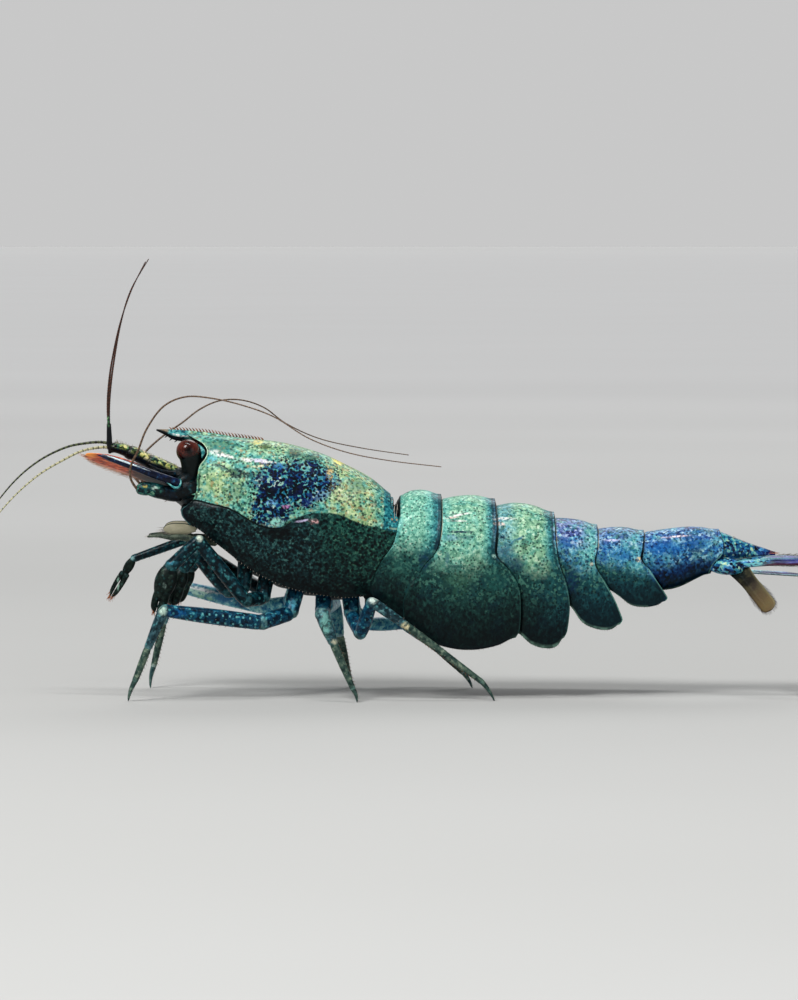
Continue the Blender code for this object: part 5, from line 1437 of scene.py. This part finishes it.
def feelers():
    tips = {LEFT: np.array((-12.5, -0.5, 11.16)), RIGHT: np.array((-12.5, 0.45, 11.16))}
    for side, word in SIDES.items():
        form = Form()
        joints = [(-9.6, side * 0.42, 9.98), (-10.86, side * 0.44, 10.5), (-11.75, side * 0.45, 10.93),
            tips[side]]
        sizes = [(0.27, 0.3), (0.27, 0.29), (0.26, 0.2)]
        for (a, b), (ra, rb) in zip(zip(joints, joints[1:]), sizes):
            a, b = np.array(a), np.array(b)
            u = np.linspace(0, 1, 24)
            length = np.linalg.norm(b - a)
            path = a + (b - a) * u[:, None] + UP * (0.04 * np.sin(math.pi * u))[:, None]
            radii = (ra + (rb - ra) * u) * (1 - 0.16 * bump(u * length, 0, 0.09) + 0.08
                * bump(u, 0.9, 0.08))
            sides = 22
            long_path, long_radii = domed(path, radii)
            long_u = np.pad(u, 3, mode="edge")
            turn = circle(sides)
            ahead = unit(b - a)
            out = unit(ACROSS - ahead * ahead[1])
            rise = np.cross(ahead, out)
            rise = rise if rise[2] > 0 else -rise
            ring = np.cos(turn)[None, :, None] * out + np.sin(turn)[None, :, None] * rise
            joint = bump(long_u * length, 0, 0.07) + bump(long_u * length, length, 0.07)
            form.grid(long_path[:, None] + long_radii[:, None, None] * ring,
                joint=np.clip(joint, 0, 1)[:, None], upper=ramp(np.sin(turn), 0.1, 0.5)[None])
            for k in range(int(length / 0.035)):
                share = draws.random()
                turn_at = draws.uniform(-0.6, 0.6)
                base = a + (b - a) * share + (out * math.sin(turn_at) + rise
                    * math.cos(turn_at)) * ra * 0.95
                hair(form, base, rise + out * turn_at + ahead * 0.7, draws.uniform(0.09, 0.2), 0.009,
                    look=1)
        spike = smooth(mirrored(side, [(-9.75, 0.72, 9.95), (-10.3, 0.86, 10.12), (-10.85, 0.84, 10.42)]),
            14)
        tube(form, spike, np.linspace(0.17, 0.02, 14), sides=12, upper=0.0)
        form.piece(f"feeler_stem_{word}", [f"antennule_{word}"],
            ["feeler_base", "bristle"])
    upright = ([(-12.62, -0.52, 10.95), (-12.64, -0.53, 11.5), (-12.66, -0.55, 12.1),
        (-12.7, -0.62, 12.9), (-12.66, -0.78, 13.8), (-12.5, -0.98, 15.0), (-12.12, -1.25, 16.7),
        (-11.6, -1.5, 18.2), (-10.95, -1.65, 19.5)], [(-12.62, -0.46, 10.95), (-12.64, -0.45, 11.5),
        (-12.66, -0.43, 12.1), (-12.66, -0.38, 12.9), (-12.6, -0.28, 13.8), (-12.45, -0.12, 15.0),
        (-12.15, 0.06, 16.7), (-11.7, 0.18, 18.2), (-10.9, 0.25, 19.6)])
    forward = ([(-12.45, 0.45, 11.24), (-13.0, 0.5, 11.36), (-13.7, 0.62, 11.32), (-14.7, 1.0, 11.1),
        (-15.9, 1.35, 10.5), (-17.0, 1.6, 9.6), (-18.1, 1.8, 8.3), (-19.31, 1.9, 6.8)],
        [(-12.45, 0.47, 11.08), (-13.0, 0.5, 11.14), (-13.9, 0.42, 10.98), (-14.8, 0.1, 10.55),
        (-15.8, -0.15, 9.95), (-16.8, -0.3, 9.1), (-17.8, -0.4, 8.0), (-18.7, -0.45, 6.9)])
    for word, lines, looks in (("left", upright, ("upright_whip", "upright_whip")),
            ("right", forward, ("forward_whip", "pale_whip"))):
        whips = Form()
        for line, slot in zip(lines, (0, 1)):
            path = whip(whips, line, *SHORT_WHIP, look=slot, thin=0.55)
            for k in range(12, len(path) - 4, 9):
                way = unit(path[k + 1] - path[k])
                side_way = unit(np.array((draws.uniform(-1, 1), draws.uniform(-1, 1),
                    draws.uniform(-1, 1))))
                hair(whips, path[k], way * 0.8 + side_way, 0.1, 0.005, look=2)
        if word == "left":
            root = smooth([(-12.5, -0.49, 11.05), (-12.62, -0.49, 11.2), (-12.645, -0.49, 11.7),
                (-12.66, -0.49, 12.2)], 18)
            tube(whips, root, smooth([0.15, 0.14, 0.12, 0.1], 18), sides=14,
                along=np.linspace(0.0, 0.12, 18))
        whips.piece(f"short_whips_{word}", [f"antennule_whips_{word}"],
            [looks[0], looks[1], "dark_bristle"])


def second_feelers():
    sweep = {LEFT: [(-11.2, -1.88, 9.3), (-11.4, -2.0, 9.46), (-11.62, -2.25, 9.92),
        (-11.56, -2.42, 10.5), (-11.26, -2.6, 11.1), (-10.85, -2.85, 12.1), (-10.1, -3.3, 13.1),
        (-9.1, -3.75, 13.55), (-7.9, -4.2, 13.5), (-6.5, -4.75, 13.2), (-5.1, -5.3, 12.7),
        (-3.6, -5.85, 11.8), (-1.9, -6.4, 11.2), (0.0, -6.75, 10.85), (2.2, -6.95, 10.6)],
        RIGHT: [(-11.2, 1.88, 9.3), (-11.43, 2.02, 9.46), (-11.7, 2.28, 9.9), (-11.45, 2.5, 10.5),
        (-10.95, 2.7, 11.05), (-10.3, 2.9, 11.6), (-9.5, 3.2, 12.15), (-8.7, 3.6, 12.75),
        (-7.8, 4.0, 13.12), (-6.8, 4.45, 13.12), (-5.8, 4.95, 12.75), (-4.8, 5.4, 12.0),
        (-3.3, 5.95, 11.3), (-1.4, 6.45, 10.85), (0.8, 6.95, 10.5)]}
    for side, word in SIDES.items():
        base = Form()
        joints = joint_list([(-9.5, side * 1.3, 9.08, 0.32), (-10.2, side * 1.46, 9.2, 0.32),
            (-10.8, side * 1.68, 9.38, 0.3), (-11.2, side * 1.88, 9.36, 0.25)])
        for (a, ra), (b, rb) in zip(joints, joints[1:]):
            u = np.linspace(0, 1, 16)
            path = a + (b - a) * u[:, None]
            tube(base, path, (ra + (rb - ra) * u) * (1 + 0.08 * np.sin(math.pi * u)), sides=20, upper=0.0,
                lower=0.85 * ramp(path[:, 0], -10.1, -10.6), joint=0.8 * bump(u, 0, 0.12))
        spike = smooth(mirrored(side, [(-9.9, 1.6, 9.1), (-10.35, 1.78, 9.05), (-10.62, 1.84, 9.02)]), 10)
        tube(base, spike, np.linspace(0.12, 0.015, 10), sides=10, upper=0.0)
        base.piece(f"feeler_root_{word}", [f"antenna_base_{word}"], ["feeler_base"])

        blade = Form()
        drop = 0.14 if side == RIGHT else 0.0
        across = np.array((0.0, side * 0.86, 0.51))
        rims = leaf(blade, (-9.6, side * 1.2, 9.3 - drop), (-13.68, side * 1.2, 10.87 - drop), across,
            0.57, thick=0.08, rib=0.04, rib_at=0.55, root_share=0.55, round_from=0.6, blunt=3.0, steps=60,
            bow=0.13)
        fringe(blade, rims, 0.035, 0.32, start=0.3, radius=0.009, sides=(0,), lean=0.5)
        ridge = smooth(mirrored(side, [(-9.45, 1.62, 9.62), (-10.57, 1.72, 10.0), (-11.43, 1.74, 10.33),
            (-12.5, 1.66, 10.71), (-13.24, 1.48, 10.94)]), 44) - UP * drop
        tube(blade, ridge, smooth([0.17, 0.18, 0.16, 0.12, 0.02], 44), sides=18,
            spine=1.0 if side == LEFT else 0.0, flank=0.0, along=np.linspace(0, 0.9, 44))
        # Painted highlight: a thin light tube along the ridge.
        streak = ridge + np.array((0.0, side * 0.12, 0.085))
        tube(blade, streak[5:38], smooth([0.012, 0.036, 0.036, 0.04, 0.012], 33), sides=8, spine=1.0,
            streak=1.0)
        blade.piece(f"feeler_scale_{word}", [f"antenna_scale_{word}"], ["scale", "pink_bristle"])

        long_whip = Form()
        whip(long_whip, sweep[side], *LONG_WHIP, pitch=0.1, thin=0.4)
        long_whip.piece(f"long_whip_{word}", [f"antenna_whip_{word}"], ["long_whip"])


def mouthparts():
    for side, word in SIDES.items():
        form = Form()
        joints = joint_list([(-7.9, side * 0.6, 6.9, 0.2), (-8.9, side * 0.8, 7.05, 0.16),
            (-9.9, side * 0.82, 7.14, 0.13), (-10.9, side * 0.75, 7.18, 0.05)])
        for (a, ra), (b, rb) in zip(joints, joints[1:]):
            path = segment(form, a, b, ra, rb, bow=(0, 0, 0.05))[0]
            for _ in range(26):
                at = path[draws.randrange(len(path))]
                hair(form, at, (-0.6, draws.uniform(-0.6, 0.6), draws.uniform(-0.9, 0.3)),
                    draws.uniform(0.15, 0.3), 0.007, look=1)
        form.piece(f"mouth_leg_{word}", [f"maxilliped_{word}"], ["mouthpart", "bristle"])
        flap = Form()
        rims = leaf(flap, (-8.75, side * 0.85, 7.5), (-10.2, side * 0.8, 7.52), (0, side * 0.45, 0.9),
            0.27, thick=0.06, rib=0.01, bow=0.04)
        fringe(flap, rims, 0.03, 0.34, start=0.12, radius=0.008, sides=(0,), lean=1.3)
        points, out = rims[1][:2]
        tube(flap, points[::3] + out * 0.005, 0.02, sides=8, look=2)
        flap.piece(f"mouth_blade_{word}", [f"mouth_flap_{word}"],
            ["flap", "bristle", "flap_rim"])


# Limbs

def leg_root(number, side):
    x = LEG_ROOT_X[number]
    return np.array((x, side * LEG_ROOT_Y[number], edge_height(x) + KEEL_LIFT + LEG_ROOT_RISE))


def spinules(form, path, radii, spacing, length, way, look):
    """Small spines along one side of a limb."""
    run = run_of(path)
    for place in np.arange(spacing, run[-1] * 0.95, spacing):
        at = point_at(place, run, path)
        radius = float(np.interp(place, run, radii))
        ahead = unit(path[-1] - path[0])
        out = unit(np.asarray(way, float) - ahead * np.dot(way, ahead))
        hair(form, at + out * radius * 0.85, out + ahead * 0.9, length * draws.uniform(0.7, 1.15),
            length * 0.09, look=look)


def walking_leg(number, side, joints, look):
    """Coxa, basis, long merus, carpus, propodus and a claw that rests on the floor."""
    form = Form()
    root = leg_root(number, side)
    points = [(root, LEG_ROOT_RADIUS)] + joint_list(joints)
    last = len(points) - 2
    for k, ((a, ra), (b, rb)) in enumerate(zip(points, points[1:])):
        tip = {last: 0.9, last - 1: 1.0, last - 2: 0.4}.get(k, 0.0)
        if k == last:
            u = np.linspace(0, 1, 14)
            bend = unit(np.array((0.4, 0, 0)) if number > 3 else np.array((-0.3, 0, 0)))
            path = a + (b - a) * u[:, None] + bend * (0.05 * np.sin(math.pi * u))[:, None]
            tube(form, path, ra * 0.8 * (1 - u) ** 0.7 + 0.022, sides=12, tip=tip, joint=0.0, along=u)
            radii = ra * 0.8 * (1 - u) + 0.02
            spinules(form, path, radii, 0.09, 0.09, (0.3, 0, 0.1), look=2)
            continue
        swell = 0.05 if k == 2 else 0.015
        path, radii = segment(form, a, b, ra, rb, swell=swell, tip=tip)
        tube(form, [b - unit(b - a) * 0.1, b, b + unit(b - a) * 0.04], rb * np.array([0.8, 0.9, 0.74]),
            sides=16, joint=0.1, tip=tip)
        if k >= 2:
            spinules(form, path, radii, 0.3 if k == 2 else 0.17, 0.14,
                (0, 0, -1) if k == 2 else (0.5, 0, -0.4), 2)
        for _ in range(int(np.linalg.norm(b - a) * 7)):
            at = draws.randrange(2, len(path) - 2)
            turn = draws.uniform(0, 2 * math.pi)
            out = np.array((0, math.cos(turn), math.sin(turn)))
            hair(form, path[at] + out * radii[at] * 0.9, out + unit(b - a) * 0.8,
                draws.uniform(0.06, 0.14), 0.006, look=1)
    name = f"leg_{number}_{SIDES[side]}"
    form.piece(f"walker_{number}_{SIDES[side]}", [name], [look, "bristle", "tooth"])


def claw_arm(number, side, joints, palm_half, spread, look, slim=False):
    """An arm, a wrist cup, a long palm and two fingers whose tips carry brushes."""
    form = Form()
    root = leg_root(number, side)
    arm = [(root, LEG_ROOT_RADIUS)] + joint_list(joints[:-2])
    for k, ((a, ra), (b, rb)) in enumerate(zip(arm, arm[1:])):
        path, radii = segment(form, a, b, ra, rb, swell=0.04 if k == 2 else 0.01)
        tube(form, [b - unit(b - a) * 0.1, b, b + unit(b - a) * 0.05], rb * np.array([0.8, 0.92, 0.76]),
            sides=16, joint=0.1)
        spinules(form, path, radii, 0.25, 0.11, (0, 0, -1), 1)
    wrist, palm, tip = arm[-1][0], np.array(joints[-2]), np.array(joints[-1])
    way = unit(tip - wrist)
    beside = unit(np.cross(way, ACROSS)) * spread
    start = wrist + way * 0.05
    u = np.linspace(0, 1, 30)
    end = palm + way * (0.0 if slim else 0.24)
    hand = start + (end - start) * u[:, None]
    width = palm_half * (0.62 + 0.38 * np.sin(math.pi * np.clip(u * 1.02, 0, 1)) ** 0.8) * (1 - 0.12 * u)
    tube(form, hand, width, sides=26, across=unit(np.cross(way, ACROSS)), flat=0.66, look=3,
        joint=0.25 * bump(u, 0, 0.06))
    for sign, thick in ((1, 0.2), (-1, 0.17)):
        thick *= 0.6 if slim else 1.0
        line = smooth([palm + beside * sign * 0.75, palm + (tip - palm) * 0.4 + beside * sign,
            palm + (tip - palm) * 0.8 + beside * sign * 0.8, tip + beside * sign * 0.35], 20)
        radii = smooth([thick * 1.25, thick, thick * 0.85, thick * 0.35], 20)
        tube(form, line, radii, sides=16, look=3, joint=0.2 * bump(np.linspace(0, 1, 20), 0, 0.08))
        for _ in range(36):
            at = line[draws.randrange(12, 20)]
            spray = np.array([draws.uniform(-0.45, 0.45) for _ in range(3)])
            hair(form, at, way + spray, draws.uniform(0.16, 0.34), 0.01, look=2)
    form.piece(f"claw_arm_{number}_{SIDES[side]}", [f"claw_{number}_{SIDES[side]}"],
        [look, "bristle", "amber_bristle", "claw"])


def limbs():
    claw_arm(1, LEFT, [(-6.62, -0.95, 4.85, 0.3), (-7.35, -1.15, 4.75, 0.3), (-8.75, -1.3, 6.45, 0.26),
        (-9.3, -1.35, 5.72, 0.24), (-9.62, -1.38, 4.92), (-9.82, -1.4, 4.2)], 0.38, 0.16, "claw_arm")
    claw_arm(1, RIGHT, [(-6.62, 0.95, 4.85, 0.3), (-7.3, 1.1, 4.75, 0.3), (-8.5, 1.2, 6.25, 0.26),
        (-9.08, 1.25, 5.6, 0.24), (-9.45, 1.28, 4.85), (-9.68, 1.3, 4.15)], 0.38, 0.16, "claw_arm")
    claw_arm(2, LEFT, [(-5.75, -1.25, 4.45, 0.33), (-6.5, -2.0, 4.4, 0.3), (-8.6, -2.3, 7.1, 0.27),
        (-9.85, -2.35, 5.9, 0.3), (-10.2, -2.38, 4.8), (-10.48, -2.4, 3.92)], 0.52, 0.19, "claw_arm")
    claw_arm(2, RIGHT, [(-5.8, 1.3, 4.6, 0.33), (-6.5, 2.0, 4.98, 0.3), (-9.36, 2.2, 6.84, 0.21),
        (-11.7, 2.2, 6.0, 0.17), (-12.12, 2.25, 5.3), (-12.72, 2.3, 4.3)], 0.23, 0.13, "claw_arm",
        slim=True)
    walking_leg(3, LEFT, [(-4.5, -1.5, 3.8, 0.34), (-5.8, -2.4, 3.43, 0.34), (-10.1, -3.25, 4.03, 0.27),
        (-10.8, -3.4, 2.38, 0.17), (-11.38, -3.45, 0.9, 0.13), (-11.68, -3.45, 0.02, 0.0)], "leg")
    walking_leg(3, RIGHT, [(-4.6, 1.6, 4.0, 0.34), (-5.8, 2.3, 3.8, 0.34), (-9.85, 3.1, 4.72, 0.26),
        (-10.4, 3.3, 3.0, 0.17), (-10.85, 3.4, 1.0, 0.13), (-11.0, 3.4, 0.02, 0.0)], "far_leg")
    walking_leg(4, LEFT, [(-3.05, -1.6, 3.85, 0.34), (-3.06, -3.4, 3.85, 0.3), (-2.55, -3.85, 2.62, 0.19),
        (-1.68, -4.05, 0.6, 0.12), (-1.5, -4.1, 0.02, 0.0)], "leg")
    walking_leg(4, RIGHT, [(-2.95, 1.6, 3.8, 0.34), (-2.6, 3.4, 3.9, 0.3), (-2.35, 3.8, 2.4, 0.19),
        (-1.95, 4.0, 0.6, 0.12), (-1.85, 4.05, 0.02, 0.0)], "far_leg")
    walking_leg(5, LEFT, [(-1.75, -1.35, 3.7, 0.34), (-1.35, -2.4, 2.92, 0.28), (-0.84, -3.3, 4.42, 0.24),
        (0.63, -3.4, 3.4, 0.18), (4.05, -3.3, 0.85, 0.12), (4.6, -3.3, 0.02, 0.0)], "leg")
    walking_leg(5, RIGHT, [(-1.7, 1.4, 3.7, 0.34), (-1.1, 2.4, 3.0, 0.28), (0.55, 3.3, 2.95, 0.24),
        (1.95, 3.4, 1.95, 0.17), (3.3, 3.4, 0.7, 0.12), (3.7, 3.4, 0.02, 0.0)], "far_leg")


def keel():
    """The furrowed underside between the legs; near-black, it also stands in for the shade under the shell.
    """
    form = Form()
    u = np.linspace(0, 1, 70)
    rows = []
    turn = circle(32)
    for share in u:
        x = KEEL_FROM + KEEL_LENGTH * share
        sag = KEEL_SAG * ramp(x, -7.6, -6.6) * (1 - ramp(x, -2.2, -1.3))
        low = edge_height(x) + KEEL_LIFT - sag
        half = KEEL_HALF * (0.6 + 0.4 * math.sin(math.pi * min(share * 1.3 + 0.1, 1.0) / 2))
        furrow = 0.07 * math.sin(2 * math.pi * (x + 1.9) / 1.15)
        c, s = np.cos(turn), np.sin(turn)
        y = half * squared(c, 0.7)
        tall = 0.45 + sag / 2
        z = low + tall + (tall + furrow * 0.5) * squared(s, 0.7)
        rows.append(np.stack([np.full_like(y, x), y, z], 1))
    form.grid(rows)
    form.piece("keel_skin", ["thorax"], ["keel"])


SWIMMERET_X = [0.32, 3.0, 6.1, 8.35, 10.35]
SWIMMERET_Y = [0.8, 0.82, 0.78, 0.66, 0.48]
SWIMMERET_LENGTH = [1.1, 1.9, 1.85, 1.35, 0.95]


def swimmerets():
    """Five pairs of paddles, each a flat stem with two fringed leaves."""
    for k in range(5):
        top = RINGS[k]["belly"]
        x, length = SWIMMERET_X[k], SWIMMERET_LENGTH[k]
        for side, word in SIDES.items():
            y = side * SWIMMERET_Y[k]
            form = Form()
            stem(form, [(x, y, top + 0.1), (x + 0.03, y, top - 0.3 * length),
                (x + 0.1, y, top - 0.55 * length)], [0.34, 0.3, 0.26], 16, sides=20, across=ALONG,
                flat=0.7)
            for sign, drop in ((1, 1.12), (-1, 1.2)):
                root = np.array((x + 0.1, y + sign * 0.1, top - 0.5 * length))
                tip = np.array((x + 0.62, y + sign * 0.3, top - drop * length))
                rims = leaf(form, root, tip, (1, 0, 0.4), 0.26, thick=0.08, rib=0.02)
                fringe(form, rims, 0.07, 0.22, start=0.3)
            form.piece(f"paddle_{k + 1}_{word}", [f"pleopod_{k + 1}_{word}"],
                ["swimmeret", "bristle"])


# Studio

FLOOR_RADIUS = 3.0  # metres
WALL_SIDES = 96
# How far the paper has to shine by itself, by distance in millimetres, to look even out to its edge.
FLOOR_GLOW = [
    (0, 0.0), (60, 0.05), (168, 0.17), (255, 0.22), (300, 0.26), (386, 0.356), (500, 0.433), (650, 0.445),
    (1100, 0.455), (2500, 0.455), (2900, 0.42), (3000, 0.36),
]
BACKDROP_HEIGHT = 0.4
BACKDROP_TONE = 0.57


def stage_piece(name, points, faces, look):
    """A part of the room, which isn't part of the animal."""
    mesh = bpy.data.meshes.new(name)
    mesh.from_pydata(points, [], faces)
    look.shader.inputs["Emission Strength"].default_value = 1.0
    mesh.materials.append(look.material)
    made = bpy.data.objects.new(name, mesh)
    bpy.context.scene.collection.objects.link(made)


def wall_rim():
    turn = circle(WALL_SIDES)
    return np.stack([np.cos(turn), np.sin(turn)], 1) * FLOOR_RADIUS


def floor():
    """A wide pale floor under the animal."""
    look = Look("floor_paper", roughness=0.8, specular=0.1)
    look.paint(look.mix(look.noise(0.02, 2.0), (178, 178, 175), (184, 184, 182)))
    far = look.math("SQRT", look.x * look.x + look.y * look.y)
    look.plug(look.shader.inputs["Emission Color"], look.stops(far, FLOOR_GLOW[0][0], FLOOR_GLOW[-1][0],
        FLOOR_GLOW))
    stage_piece("floor", [(x, y, 0) for x, y in wall_rim()], [tuple(range(WALL_SIDES))], look)


def backdrop():
    """A low round wall behind the floor's edge, in the floor's own tone."""
    levels = np.linspace(-0.01, BACKDROP_HEIGHT, 5)
    points = [(x, y, z) for z in levels for x, y in wall_rim()]
    count = WALL_SIDES
    faces = [(r * count + k, r * count + (k + 1) % count, (r + 1) * count + (k + 1) % count,
        (r + 1) * count + k) for r in range(len(levels) - 1) for k in range(count)]
    look = Look("backdrop_paper", roughness=0.9, specular=0.0)
    top = BACKDROP_HEIGHT / MM
    glow = look.stops(look.z, 0, top, [(0, BACKDROP_TONE), (0.5 * top, BACKDROP_TONE),
        (top, 0.6 * BACKDROP_TONE)])
    look.shader.inputs["Base Color"].default_value = (0.02, 0.02, 0.02, 1.0)
    look.plug(look.shader.inputs["Emission Color"], glow)
    stage_piece("backdrop", points, faces, look)


def area_light(name, place, size, power, colour=(1, 1, 1)):
    """A soft light aimed at the animal: a disk, or a strip where size is a pair."""
    lamp = bpy.data.lights.new(name, "AREA")
    if isinstance(size, tuple):
        lamp.shape = "RECTANGLE"
        lamp.size, lamp.size_y = size
    else:
        lamp.shape = "DISK"
        lamp.size = size
    lamp.energy = power
    lamp.color = colour
    made = bpy.data.objects.new(name, lamp)
    bpy.context.scene.collection.objects.link(made)
    aim(made, place, LIT_PLACE)


def aim(item, place, target):
    """Puts an item at place, in metres, looking at target."""
    place, target = Vector(place), Vector(target)
    item.location = place
    item.rotation_euler = (target - place).to_track_quat("-Z", "Y").to_euler()


PHOTO_SCALE = 0.045  # millimetres of the animal for each pixel of the photograph
PHOTO_HEIGHT = 1000
LOOK_AT = (0.36 * MM, 0.0, 8.78 * MM)
CAMERA_DISTANCE = 0.25  # metres
CAMERA_ELEVATION = 3.0  # degrees above level
CAMERA_REACH = (0.001, 10.0)  # metres
SENSOR_WIDTH = 36.0
LIT_PLACE = (0.0, 0.0, 8 * MM)
SKY_STRENGTH = 0.24


def studio():
    scene = bpy.context.scene
    scene.view_settings.view_transform = "Standard"
    floor()
    backdrop()
    area_light("key", (-0.12, -0.17, 0.24), 0.12, 0.8)
    area_light("strip", (-0.01, -0.03, 0.26), (0.16, 0.01), 0.22)
    area_light("fill", (0.25, -0.25, 0.1), 0.25, 0.12, (0.93, 0.97, 1.0))
    area_light("rim", (0.05, 0.28, 0.25), 0.2, 0.3)
    world = bpy.data.worlds.new("studio")
    world.use_nodes = True
    sky = world.node_tree.nodes["Background"]
    sky.inputs["Color"].default_value = (0.94, 0.96, 1.0, 1)
    sky.inputs["Strength"].default_value = SKY_STRENGTH
    scene.world = world
    camera = bpy.data.cameras.new("camera")
    camera.sensor_fit = "AUTO"
    camera.sensor_width = SENSOR_WIDTH
    field = PHOTO_SCALE * PHOTO_HEIGHT
    camera.lens = camera.sensor_width * CAMERA_DISTANCE / MM / field
    camera.clip_start, camera.clip_end = CAMERA_REACH
    made = bpy.data.objects.new("camera", camera)
    scene.collection.objects.link(made)
    tilt = math.radians(CAMERA_ELEVATION)
    place = (LOOK_AT[0], -CAMERA_DISTANCE * math.cos(tilt), LOOK_AT[2] + CAMERA_DISTANCE * math.sin(tilt))
    aim(made, place, LOOK_AT)
    scene.camera = made


studio()
carapace()
shell_rings()
telson()
tail_fan()
face()
eyes()
feelers()
second_feelers()
mouthparts()
limbs()
keel()
swimmerets()
